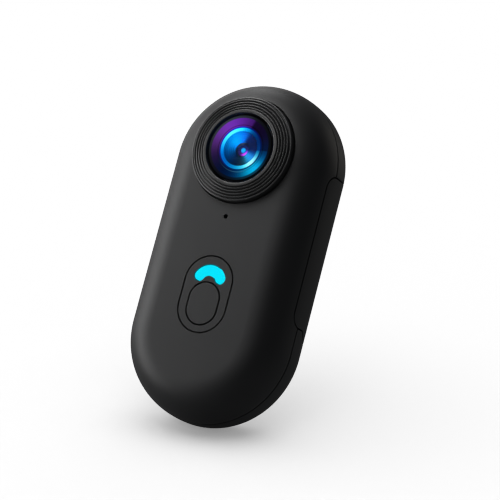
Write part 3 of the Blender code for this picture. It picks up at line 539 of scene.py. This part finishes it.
def soften(obj, width=EDGE_BREAK, angle=35, segments=2):
    """Round off the sharp edges a little and shade the piece smooth."""
    obj.data.shade_smooth()
    bevel = obj.modifiers.new("edge_break", "BEVEL")
    bevel.width = width
    bevel.segments = segments
    bevel.limit_method = "ANGLE"
    bevel.angle_limit = math.radians(angle)
    bevel.use_clamp_overlap = True
    bevel.harden_normals = False
    weighted = obj.modifiers.new("normals", "WEIGHTED_NORMAL")
    weighted.keep_sharp = True
    return obj


def turned(name, profile, closed=False, steps=TURN_STEPS, centre_z=None):
    """Piece turned about the lens axis from (radius, depth) points, front end first."""
    count = len(profile)
    edges = [(i, i + 1) for i in range(count - 1)] + ([(count - 1, 0)] if closed else [])
    mesh = bpy.data.meshes.new(name)
    mesh.from_pydata([(radius, 0, depth) for radius, depth in profile], edges, [])
    obj = add_object(name, mesh)
    obj.rotation_euler.x = math.radians(90)
    obj.location.z = LENS_Z if centre_z is None else centre_z
    screw = obj.modifiers.new("turn", "SCREW")
    screw.steps = steps
    screw.render_steps = steps
    screw.use_merge_vertices = True
    screw.merge_threshold = 1e-6
    screw.use_smooth_shade = True
    baked(obj)
    obj.data.set_sharp_from_angle(angle=math.radians(40))
    return obj


def body_skin(name, profile, outward_y):
    """Stadium-shaped skin with an even wall: a profile spun half a turn, drawn straight and mirrored."""
    edit = bmesh.new()
    points = [edit.verts.new((reach, -depth, ARC_Z)) for reach, depth in profile]
    edges = [edit.edges.new(pair) for pair in zip(points, points[1:])]
    bmesh.ops.spin(edit, geom=points + edges, cent=(0, 0, ARC_Z), axis=(0, 1, 0), dvec=(0, 0, 0),
                   angle=-math.pi, steps=SPIN_STEPS, use_duplicate=False)
    bmesh.ops.remove_doubles(edit, verts=edit.verts, dist=1e-7)
    level = [edge for edge in edit.edges if all(abs(v.co.z - ARC_Z) < 1e-7 for v in edge.verts)]
    for item in bmesh.ops.extrude_edge_only(edit, edges=level)["geom"]:
        if isinstance(item, bmesh.types.BMVert):
            item.co.z = 0.0
    bmesh.ops.mirror(edit, geom=edit.verts[:] + edit.edges[:] + edit.faces[:], axis="Z", merge_dist=1e-6)
    bmesh.ops.remove_doubles(edit, verts=edit.verts, dist=1e-7)
    bmesh.ops.recalc_face_normals(edit, faces=edit.faces)
    bmesh.ops.dissolve_limit(edit, angle_limit=math.radians(0.05), verts=edit.verts, edges=edit.edges)
    widest = max(edit.faces, key=lambda face: face.calc_area())
    if widest.normal.y * outward_y < 0:
        bmesh.ops.reverse_faces(edit, faces=edit.faces)
    mesh = bpy.data.meshes.new(name)
    edit.to_mesh(mesh)
    edit.free()
    obj = add_object(name, mesh)
    wall = obj.modifiers.new("wall", "SOLIDIFY")
    wall.thickness = WALL
    wall.offset = -1.0
    wall.use_even_offset = True
    return baked(obj)


def stands_for(obj, node, material):
    """Put a fine piece in the place of its CAD node, with a material, riding on the node's body."""
    obj.data.materials.clear()
    obj.data.materials.append(material)
    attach(obj, BODY_OF[node])
    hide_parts(node)
    return obj


BODY_OF = {node: body for body, nodes in frame["record"]["behaviour"]["bodies"].items() for node in nodes}


# ---------------------------------------------------------------- shells and door

HINGE = next(Vector(joint["pos_m"]) for joint in frame["joints"] if joint["name"] == "side_door_hinge")
DOOR_CORNER = 0.0021
DOOR_WALL = 0.0010
DOOR_BOTTOM = -0.0100
DOOR_TOP = high("side_door").z
TAIL_BOTTOM = low("side_door").z
TAIL_DEPTH = (0.0049, 0.00246)
TAIL_ROUND = 0.0010
TAIL_TURN = math.radians(50)
BAY_REAR = 0.0013
BARREL_RADIUS = 0.0008
BARREL_BORE = 0.0005
RELIEF = ((0.0110, 0.0023, TAIL_BOTTOM - SEAM), (0.01338, 0.0036, TAIL_BOTTOM + 0.0004))
PAD = ((0.0125, 0.0040, DOOR_BOTTOM + 0.0005), (0.0132, 0.0072, DOOR_TOP - 0.0005))
MIC_HOLE = 0.00038
RING_RADIUS = 0.00865


def door_outline(grow, rear_depth):
    """Outline of the side door in Y and Z: round front corners, and a tail that drops towards the hinge."""
    corner = DOOR_CORNER + grow
    front = low("side_door").y - grow + corner
    start, end = TAIL_DEPTH
    points = [(-rear_depth, TAIL_BOTTOM - grow), (-rear_depth, DOOR_TOP + grow)]
    points += arc((front, DOOR_TOP + grow - corner), corner, math.pi / 2, math.pi, 24)
    points += arc((front, DOOR_BOTTOM - grow + corner), corner, math.pi, 1.5 * math.pi, 24)
    points += arc((-start, DOOR_BOTTOM - TAIL_ROUND), TAIL_ROUND - grow, math.pi / 2,
                  math.pi / 2 - TAIL_TURN, 12)
    points += arc((-end, TAIL_BOTTOM + TAIL_ROUND), TAIL_ROUND + grow, 1.5 * math.pi - TAIL_TURN,
                  1.5 * math.pi, 12)
    return points


def bay_cutter():
    return extruded("bay_cutter", [door_outline(SEAM, BAY_REAR)], "side", 0.0095, 0.0160)


def make_front_shell(material):
    """Front skin with holes for the bezel, the panel and the microphone, and the side bay."""
    shell = body_skin("front_shell_skin", [(0, BODY_DEPTH)] + front_edge(PARTING_DEPTH + SEAM / 2, 30), -1)
    combine(shell, rod("lens_cutter", RING_RADIUS + SEAM, (0, LENS_Z), 0.0100, 0.0150, segments=TURN_STEPS))
    panel = stadium(PANEL_WIDTH + 2 * SEAM, PANEL_HEIGHT + 2 * SEAM, PANEL_Z)
    combine(shell, extruded("panel_cutter", [panel], "front", 0.0100, 0.0150))
    combine(shell, rod("mic_cutter", MIC_HOLE, (0, middle("mic_mesh").z), 0.0100, 0.0150, segments=32))
    combine(shell, bay_cutter())
    soften(shell)
    stands_for(shell, "front_shell", material)


def make_rear_shell(material):
    """Rear skin with the side bay, grooves for the hinge pin and room inside for the door's tail to turn."""
    shell = body_skin("rear_shell_skin", rear_edge(PARTING_DEPTH - SEAM / 2, 6, 24) + [(0, 0)], 1)
    combine(shell, bay_cutter())
    seat = high("hinge_pin").x - HINGE.x + 0.0003
    combine(shell, rod("seat_cutter", seat, (HINGE.x, HINGE.y), low("hinge_pin").z - 0.0003,
                       high("hinge_pin").z + 0.0003, plane="top", segments=32))
    combine(shell, block("tail_relief", *RELIEF))
    soften(shell)
    stands_for(shell, "rear_shell", material)


def make_side_door(material):
    """Curved skin that follows the body, with an inner pad and a hinge barrel."""
    back, front = depths("side_door")
    steps = 36
    outer, inner = [], []
    for i in range(steps + 1):
        depth = front + (back - front) * i / steps
        slope = (side_reach(depth + 1e-5) - side_reach(depth - 1e-5)) / 2e-5
        scale = DOOR_WALL / math.hypot(1, slope)
        outer.append((side_reach(depth), -depth))
        inner.append((side_reach(depth) - scale, -depth - slope * scale))
    door = extruded("side_door_skin", [outer + inner[::-1]], "top", TAIL_BOTTOM, DOOR_TOP)
    combine(door, block("pad", *PAD), "UNION")
    axis = (HINGE.x, HINGE.y)
    barrel = rod("barrel", BARREL_RADIUS, axis, TAIL_BOTTOM, DOOR_TOP, plane="top", segments=48)
    combine(door, barrel, "UNION")
    bore = rod("bore", BARREL_BORE, axis, TAIL_BOTTOM - 0.001, DOOR_TOP + 0.001, plane="top", segments=32)
    combine(door, bore)
    combine(door, extruded("door_shape", [door_outline(0.0, 0.0)], "side", 0.0090, 0.0160), "INTERSECT")
    soften(door)
    stands_for(door, "side_door", material)


# ---------------------------------------------------------------- control panel

PANEL_FLANGE = 0.0009
PANEL_WIDTH = 2 * (high("control_plate").x - PANEL_FLANGE)
PANEL_HEIGHT = high("control_plate").z - low("control_plate").z - 2 * PANEL_FLANGE
PANEL_Z = middle("control_plate").z
BUTTON_FOOT = 0.0007
BUTTON_WIDTH = 2 * (high("shutter_button").x - BUTTON_FOOT)
BUTTON_HEIGHT = high("shutter_button").z - low("shutter_button").z - 2 * BUTTON_FOOT
BUTTON_Z = middle("shutter_button").z
LIGHT_BAND = 0.0016
LIGHT_HALF_ANGLE = math.radians(63)
LIGHT_RADIUS = (high("light_pipe").x - LIGHT_BAND / 2) / math.sin(LIGHT_HALF_ANGLE)
LIGHT_Z = high("light_pipe").z - LIGHT_RADIUS - LIGHT_BAND / 2
LIGHT_GAP = 0.00015


def light_band(grow):
    half = LIGHT_BAND / 2 + grow
    centre = (0, LIGHT_Z)
    right = math.pi / 2 - LIGHT_HALF_ANGLE
    left = math.pi / 2 + LIGHT_HALF_ANGLE
    ends = [(LIGHT_RADIUS * math.cos(a), LIGHT_Z + LIGHT_RADIUS * math.sin(a)) for a in (left, right)]
    points = arc(centre, LIGHT_RADIUS + half, right, left, 48)
    points += arc(ends[0], half, left, left + math.pi, 24)[1:-1]
    points += arc(centre, LIGHT_RADIUS - half, left, right, 32)
    return points + arc(ends[1], half, right + math.pi, right + 2 * math.pi, 24)[1:-1]


def make_control_panel(plate_material, button_material, light):
    back, front = depths("control_plate")
    loops = [stadium(PANEL_WIDTH, PANEL_HEIGHT, PANEL_Z),
             stadium(BUTTON_WIDTH + 2 * SEAM, BUTTON_HEIGHT + 2 * SEAM, BUTTON_Z), light_band(LIGHT_GAP)]
    plate = extruded("control_plate_face", loops, "front", back, front)
    wide = stadium(PANEL_WIDTH + 2 * PANEL_FLANGE, PANEL_HEIGHT + 2 * PANEL_FLANGE, PANEL_Z)
    narrow = stadium(PANEL_WIDTH - 0.0002, PANEL_HEIGHT - 0.0002, PANEL_Z)
    combine(plate, extruded("flange", [wide, narrow], "front", back, back + 0.0006), "UNION")
    stands_for(soften(plate), "control_plate", plate_material)
    back, front = depths("shutter_button")
    outline = stadium(BUTTON_WIDTH, BUTTON_HEIGHT, BUTTON_Z)
    cap = extruded("shutter_button_cap", [outline], "front", back, front)
    foot = stadium(BUTTON_WIDTH + 2 * BUTTON_FOOT, BUTTON_HEIGHT + 2 * BUTTON_FOOT, BUTTON_Z)
    combine(cap, extruded("foot", [foot], "front", back, back + 0.0004), "UNION")
    stands_for(soften(cap), "shutter_button", button_material)
    back, front = depths("light_pipe")
    pipe = extruded("light_pipe_guide", [light_band(0.0)], "front", back, front)
    stands_for(soften(pipe, 0.00004), "light_pipe", light)


# ---------------------------------------------------------------- lens

RING_BORE = 0.00587
RING_FACE_RADIUS = 0.0064
RING_RIB_RADIUS = 0.00823
RING_RIB_EDGE = BODY_DEPTH + 0.00126
RING_STEP = BODY_DEPTH + 0.00094
RING_STEP_GROOVE = 0.00022
RING_STEP_RADIUS = RING_RIB_RADIUS + 0.00016
RING_RIBS = 4
# Points of one rib, groove first: share of the pitch outward, and drop below the rib's top.
RIB_SHAPE = [(0.04, 0.00036), (0.24, 0.00046), (0.46, 0.00044), (0.50, 0.00008), (0.56, 0.00001), (0.64, 0.0),
             (0.72, 0.00001), (0.82, 0.00005), (0.92, 0.00012), (0.98, 0.00020)]
RING_FLANGE_RADIUS = high("lens_ring").x


def make_lens_ring(material):
    """Flat inner face, ribs with deep grooves between them, and a lower step at the body."""
    back, face = depths("lens_ring")
    flange_front = back + 0.0006
    lip = 0.00012
    profile = arc((RING_BORE + lip, face - lip), lip, math.pi, math.pi / 2, 5)
    profile += arc((RING_FACE_RADIUS - lip / 2, face - lip / 2), lip / 2, math.pi / 2, 0, 4)
    pitch = (RING_RIB_RADIUS - RING_FACE_RADIUS) / RING_RIBS
    fall = (face - RING_RIB_EDGE) / RING_RIBS
    for rib in range(RING_RIBS):
        start = RING_FACE_RADIUS + rib * pitch
        top = face - (rib + 1) * fall
        profile += [(start + across * pitch, top - drop) for across, drop in RIB_SHAPE]
    floor_depth = RING_STEP - RING_STEP_GROOVE
    profile += [(RING_RIB_RADIUS, floor_depth), (RING_RIB_RADIUS + 0.0001, floor_depth)]
    profile += arc((RING_STEP_RADIUS + lip / 2, RING_STEP - lip / 2), lip / 2, math.pi, math.pi / 2, 3)
    profile += arc((RING_RADIUS - lip, RING_STEP - lip), lip, math.pi / 2, 0, 5)
    profile += [(RING_RADIUS, flange_front), (RING_FLANGE_RADIUS, flange_front), (RING_FLANGE_RADIUS, back),
                (RING_BORE, back)]
    stands_for(turned("lens_ring_ribbed", profile, closed=True), "lens_ring", material)


def dome(apex, curve, reach, steps):
    return [(reach * i / steps, apex - curve + math.sqrt(curve ** 2 - (reach * i / steps) ** 2))
            for i in range(steps + 1)]


def make_lens(materials):
    back, front = depths("cover_glass")
    radius = high("cover_glass").x
    chamfer = 0.0001
    glass = [(0, front), (radius - chamfer, front), (radius, front - chamfer), (radius, back + chamfer),
             (radius - chamfer, back), (0, back)]
    stands_for(turned("cover_glass_disc", glass), "cover_glass", materials["glass"])
    back, front = depths("front_element")
    radius = high("front_element").x
    hollow = dome(back + 0.000675, 0.0070, 0.0030, 12)
    profile = dome(front, 0.0140, radius, 36) + [(radius, back)] + hollow[::-1]
    stands_for(turned("front_element_glass", profile), "front_element", materials["front"])
    back, front = depths("middle_element")
    radius = high("middle_element").x
    profile = dome(front, 0.0080, radius, 28) + [(radius, back), (0, back)]
    stands_for(turned("middle_element_glass", profile), "middle_element", materials["middle"])
    back, front = depths("lens_retainer")
    outer, inner, slope = high("lens_retainer").x, 0.0046, 0.0002
    profile = [(inner, front - slope), (inner + 0.5 * slope, front - 0.3 * slope), (inner + slope, front),
               (outer - 0.5 * slope, front), (outer, front - 0.5 * slope), (outer, back), (inner, back)]
    stands_for(turned("lens_retainer_ring", profile, closed=True), "lens_retainer", materials["retainer"])
    back, front = depths("lens_barrel")
    outer = high("lens_barrel").x
    profile = [(0.0054, front), (outer - 0.00005, front), (outer, front - 0.00005), (outer, 0.0099),
               (0.0029, 0.0099), (0.0029, back), (0.0020, back), (0.0020, 0.0097), (0.0026, 0.0097),
               (0.0026, 0.0109), (0.0037, 0.0109), (0.0037, 0.0123), (0.0048, 0.0123), (0.0048, 0.0131),
               (0.0054, 0.0131)]
    stands_for(turned("lens_barrel_tube", profile, closed=True), "lens_barrel", materials["barrel"])


# ---------------------------------------------------------------- CAD nodes that keep their shape

def dress(node, material, bevel=0.0):
    """Give a CAD node a node material and, where it helps, a small edge break."""
    obj = frame["nodes"][node]
    obj.data.materials.clear()
    obj.data.materials.append(material)
    if bevel:
        modifier = obj.modifiers.new("edge_break", "BEVEL")
        modifier.width = bevel
        modifier.segments = 2
        modifier.limit_method = "ANGLE"
        modifier.angle_limit = math.radians(40)
        obj.modifiers.new("normals", "WEIGHTED_NORMAL")


def dress_inner_nodes():
    steel = brushed("stamped_steel", (0.60, 0.60, 0.62), 0.28)
    for node in ("usb_c_shell", "card_socket", "shield_can", "tact_switch", "hinge_pin"):
        dress(node, steel, 0.00005)
    screw = brushed("screw_steel", (0.42, 0.42, 0.44), 0.32)
    for node in frame["nodes"]:
        if node.startswith("chassis_screw"):
            dress(node, screw, 0.00008)
    dress("chassis", moulded("blasted_alloy", (0.42, 0.43, 0.45), 0.42, metallic=1.0), 0.00008)
    board = board_material("solder_mask")
    for node in ("main_board", "front_board", "sensor_board"):
        dress(node, board)
    chip = moulded("chip_epoxy", (0.018, 0.018, 0.020), 0.42, grain=0.00008)
    for node in ("processor", "memory_chip", "power_chip", "usb_c_tongue"):
        dress(node, chip, 0.00006)
    dress("micro_sd_card", moulded("card_black", (0.016, 0.016, 0.018), 0.36, grain=0.0001), 0.00008)
    seal = moulded("seal_black", (0.010, 0.010, 0.010), 0.75, bump=0.2)
    for node in ("shell_gasket", "lens_gasket", "mic_gasket"):
        dress(node, seal, 0.00008)
    dress("door_gasket", moulded("seal_grey", (0.16, 0.16, 0.165), 0.7, bump=0.2), 0.00012)
    film = moulded("polyimide", (0.42, 0.17, 0.025), 0.38, grain=0.0005, variation=0.25)
    for node in ("sensor_flex", "front_flex", "wifi_antenna"):
        dress(node, film)
    black = moulded("bay_black", (0.014, 0.014, 0.015), 0.5)
    for node in ("port_frame", "sensor_holder"):
        dress(node, black, 0.00006)
    dress("aperture_stop", moulded("blade_black", (0.004, 0.004, 0.005), 0.6))
    dress("rear_element", moulded("rear_glass", (0.01, 0.05, 0.16), 0.08, grain=0.001, bump=0.0))
    dress("ir_filter", moulded("filter_glass", (0.05, 0.16, 0.18), 0.1, grain=0.001, bump=0.0))
    dress("image_sensor", moulded("sensor_die", (0.05, 0.03, 0.09), 0.2, grain=0.0003, bump=0.02))
    dress("mic_mesh", moulded("mesh_black", (0.006, 0.006, 0.006), 0.8, grain=0.0001, bump=0.5))
    dress("microphone", brushed("mic_can", (0.72, 0.58, 0.34), 0.3), 0.00006)
    dress("switch_plunger", moulded("plunger_nylon", (0.55, 0.42, 0.22), 0.5), 0.00006)
    dress("status_led", moulded("lamp_body", (0.75, 0.74, 0.62), 0.4), 0.00004)
    dress("battery", moulded("cell_foil", (0.50, 0.51, 0.53), 0.36, grain=0.0006, metallic=0.7), 0.0004)
    dress("battery_lead", moulded("lead_red", (0.45, 0.03, 0.02), 0.5))
    dress("battery_connector", moulded("connector_nylon", (0.70, 0.66, 0.55), 0.5), 0.00008)
    nickel = brushed("magnet_nickel", (0.62, 0.60, 0.56), 0.22)
    for node in ("upper_magnet", "lower_magnet"):
        dress(node, nickel, 0.00012)


# ---------------------------------------------------------------- stage, light and camera

CAMERA_AIM = Vector((0.00453, -0.01072, 0.00007))
CAMERA_DISTANCE = 0.26376
CAMERA_AZIMUTH = math.radians(26.64)
CAMERA_ELEVATION = math.radians(-9.72)
CAMERA_ROLL = math.radians(-14.71)
CAMERA_LENS = 120.26
FLOOR_ELEVATION = math.radians(15)


def camera_axes():
    """Right, up and toward-the-viewer directions of the camera."""
    toward = Vector((math.sin(CAMERA_AZIMUTH) * math.cos(CAMERA_ELEVATION),
                     -math.cos(CAMERA_AZIMUTH) * math.cos(CAMERA_ELEVATION), math.sin(CAMERA_ELEVATION)))
    level = Vector((0, 0, 1)).cross(toward).normalized()
    upright = toward.cross(level)
    right = level * math.cos(CAMERA_ROLL) - upright * math.sin(CAMERA_ROLL)
    up = upright * math.cos(CAMERA_ROLL) + level * math.sin(CAMERA_ROLL)
    return right, up, toward


RIGHT, UP, TOWARD = camera_axes()


def place_camera():
    data = bpy.data.cameras.new("camera")
    data.lens = CAMERA_LENS
    data.sensor_width = 36.0
    data.clip_start = 0.01
    data.clip_end = 10.0
    camera = add_object("camera", data)
    location = CAMERA_AIM + TOWARD * CAMERA_DISTANCE
    camera.matrix_world = Matrix((
        (RIGHT.x, UP.x, TOWARD.x, location.x), (RIGHT.y, UP.y, TOWARD.y, location.y),
        (RIGHT.z, UP.z, TOWARD.z, location.z), (0, 0, 0, 1)))
    bpy.context.scene.camera = camera


def area_light(name, direction, distance, size, energy, colour=(1, 1, 1)):
    """Soft rectangular light at a direction given as (right, up, toward) from the camera's view."""
    data = bpy.data.lights.new(name, "AREA")
    data.shape = "RECTANGLE"
    data.size, data.size_y = size
    data.energy = energy
    data.color = colour
    lamp = add_object(name, data)
    way = (RIGHT * direction[0] + UP * direction[1] + TOWARD * direction[2]).normalized()
    lamp.location = CAMERA_AIM + way * distance
    lamp.rotation_euler = way.to_track_quat("Z", "Y").to_euler()
    return lamp


def make_floor():
    """Pale floor, level in the camera's view, that touches the body's lowest point."""
    normal = UP * math.cos(FLOOR_ELEVATION) + TOWARD * math.sin(FLOOR_ELEVATION)
    meshes = [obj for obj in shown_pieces() if obj.type == "MESH"]
    points = [obj.matrix_world @ vertex.co for obj in meshes for vertex in obj.data.vertices]
    level = min(point.dot(normal) for point in points)
    edit = bmesh.new()
    bmesh.ops.create_grid(edit, x_segments=1, y_segments=1, size=2.0)
    mesh = bpy.data.meshes.new("floor")
    edit.to_mesh(mesh)
    edit.free()
    floor = add_object("floor", mesh)
    tilt = normal.to_track_quat("Z", "Y").to_matrix().to_4x4()
    floor.matrix_world = Matrix.Translation(normal * level) @ tilt
    floor.data.materials.append(floor_material())
    floor.is_shadow_catcher = True
    floor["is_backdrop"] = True
    return floor


def floor_material():
    """Matt pale floor, open when seen from below."""
    material, tree, shader = new_material("floor_pale")
    shader.inputs["Base Color"].default_value = (0.9, 0.9, 0.9, 1)
    shader.inputs["Roughness"].default_value = 0.9
    below = add_node(tree, "ShaderNodeNewGeometry").outputs["Backfacing"]
    through = add_node(tree, "ShaderNodeBsdfTransparent").outputs[0]
    surface = add_node(tree, "ShaderNodeMixShader", {0: below, 1: shader.outputs[0], 2: through}).outputs[0]
    tree.links.new(surface, tree.nodes["Material Output"].inputs["Surface"])
    return material


def make_world():
    """White surroundings for the eye, dim ones for the light they give."""
    world = bpy.data.worlds.new("studio")
    bpy.context.scene.world = world
    world.use_nodes = True
    tree = world.node_tree
    tree.nodes.clear()
    seen = add_node(tree, "ShaderNodeBackground", {"Color": (1, 1, 1, 1), "Strength": 1.0}).outputs[0]
    given = add_node(tree, "ShaderNodeBackground", {"Color": (0.9, 0.95, 1, 1), "Strength": 0.045}).outputs[0]
    eye = add_node(tree, "ShaderNodeLightPath").outputs["Is Camera Ray"]
    mixed = add_node(tree, "ShaderNodeMixShader", {0: eye, 1: given, 2: seen}).outputs[0]
    output = add_node(tree, "ShaderNodeOutputWorld", {"Surface": mixed})
    output.is_active_output = True


def linked_group(name, objects, state="INCLUDE"):
    """Group of objects for a lamp to keep to, or to leave out."""
    group = bpy.data.collections.new(name)
    for obj in objects:
        group.objects.link(obj)
    for link in group.collection_objects:
        link.light_linking.link_state = state
    return group


def make_lights(floor):
    """Lamps for the camera, and two of their own for the floor so that its shadow stays faint."""
    lamps = [
        area_light("key_left", (-1.0, 0.26, 0.04), 0.12, (0.05, 0.14), 0.088),
        area_light("front_soft", (-0.5, 0.85, 0.7), 0.40, (0.20, 0.20), 0.10),
        area_light("ring_top", (-0.45, 1.0, 0.12), 0.14, (0.10, 0.03), 0.06),
        area_light("rim_left", (-1.0, 0.45, -0.55), 0.30, (0.10, 0.20), 0.09),
        area_light("top_rim", (-0.15, 1.0, -0.45), 0.35, (0.25, 0.12), 0.26),
        area_light("rim_right", (1.0, 0.1, -0.80), 0.30, (0.10, 0.30), 0.06, (1.0, 0.95, 0.88)),
        area_light("back_soft", (-0.3, 0.4, -1.0), 0.40, (0.30, 0.30), 0.22),
        area_light("under_rim", (-0.57, -0.82, -0.8), 0.30, (0.10, 0.10), 0.11),
    ]
    others = linked_group("all_but_the_floor", [floor], "EXCLUDE")
    for lamp in lamps:
        lamp.light_linking.receiver_collection = others
    only_floor = linked_group("only_the_floor", [floor])
    shading = area_light("floor_soft", (-0.05, 1.0, 0.02), 0.30, (0.60, 0.60), 0.12)
    shading.light_linking.receiver_collection = only_floor
    filling = area_light("floor_fill", (0.10, 1.0, 0.60), 0.50, (0.40, 0.40), 0.12)
    filling.light_linking.receiver_collection = only_floor
    filling.light_linking.blocker_collection = only_floor


# ---------------------------------------------------------------- the whole scene

bpy.context.scene.view_settings.view_transform = "Standard"
shell_black = moulded("soft_touch_black", (0.030, 0.030, 0.031), 0.50)
door_black = moulded("soft_touch_door", (0.030, 0.030, 0.031), 0.50)
panel_black = moulded("panel_satin", (0.032, 0.032, 0.033), 0.46)
make_front_shell(shell_black)
make_rear_shell(shell_black)
make_side_door(door_black)
make_control_panel(panel_black, panel_black, light_material())
make_lens_ring(moulded("ring_satin", (0.055, 0.055, 0.056), 0.28, grain=0.00008, bump=0.04, specular=0.9))
make_lens({
    "glass": painted_cover_reflections(),
    "front": painted_front_reflections(),
    "middle": painted_middle_glints(),
    "retainer": moulded("retainer_slate", (0.018, 0.022, 0.027), 0.42, grain=0.0001),
    "barrel": moulded("barrel_black", (0.004, 0.004, 0.005), 0.6),
})
dress_inner_nodes()
floor = make_floor()
make_world()
make_lights(floor)
place_camera()
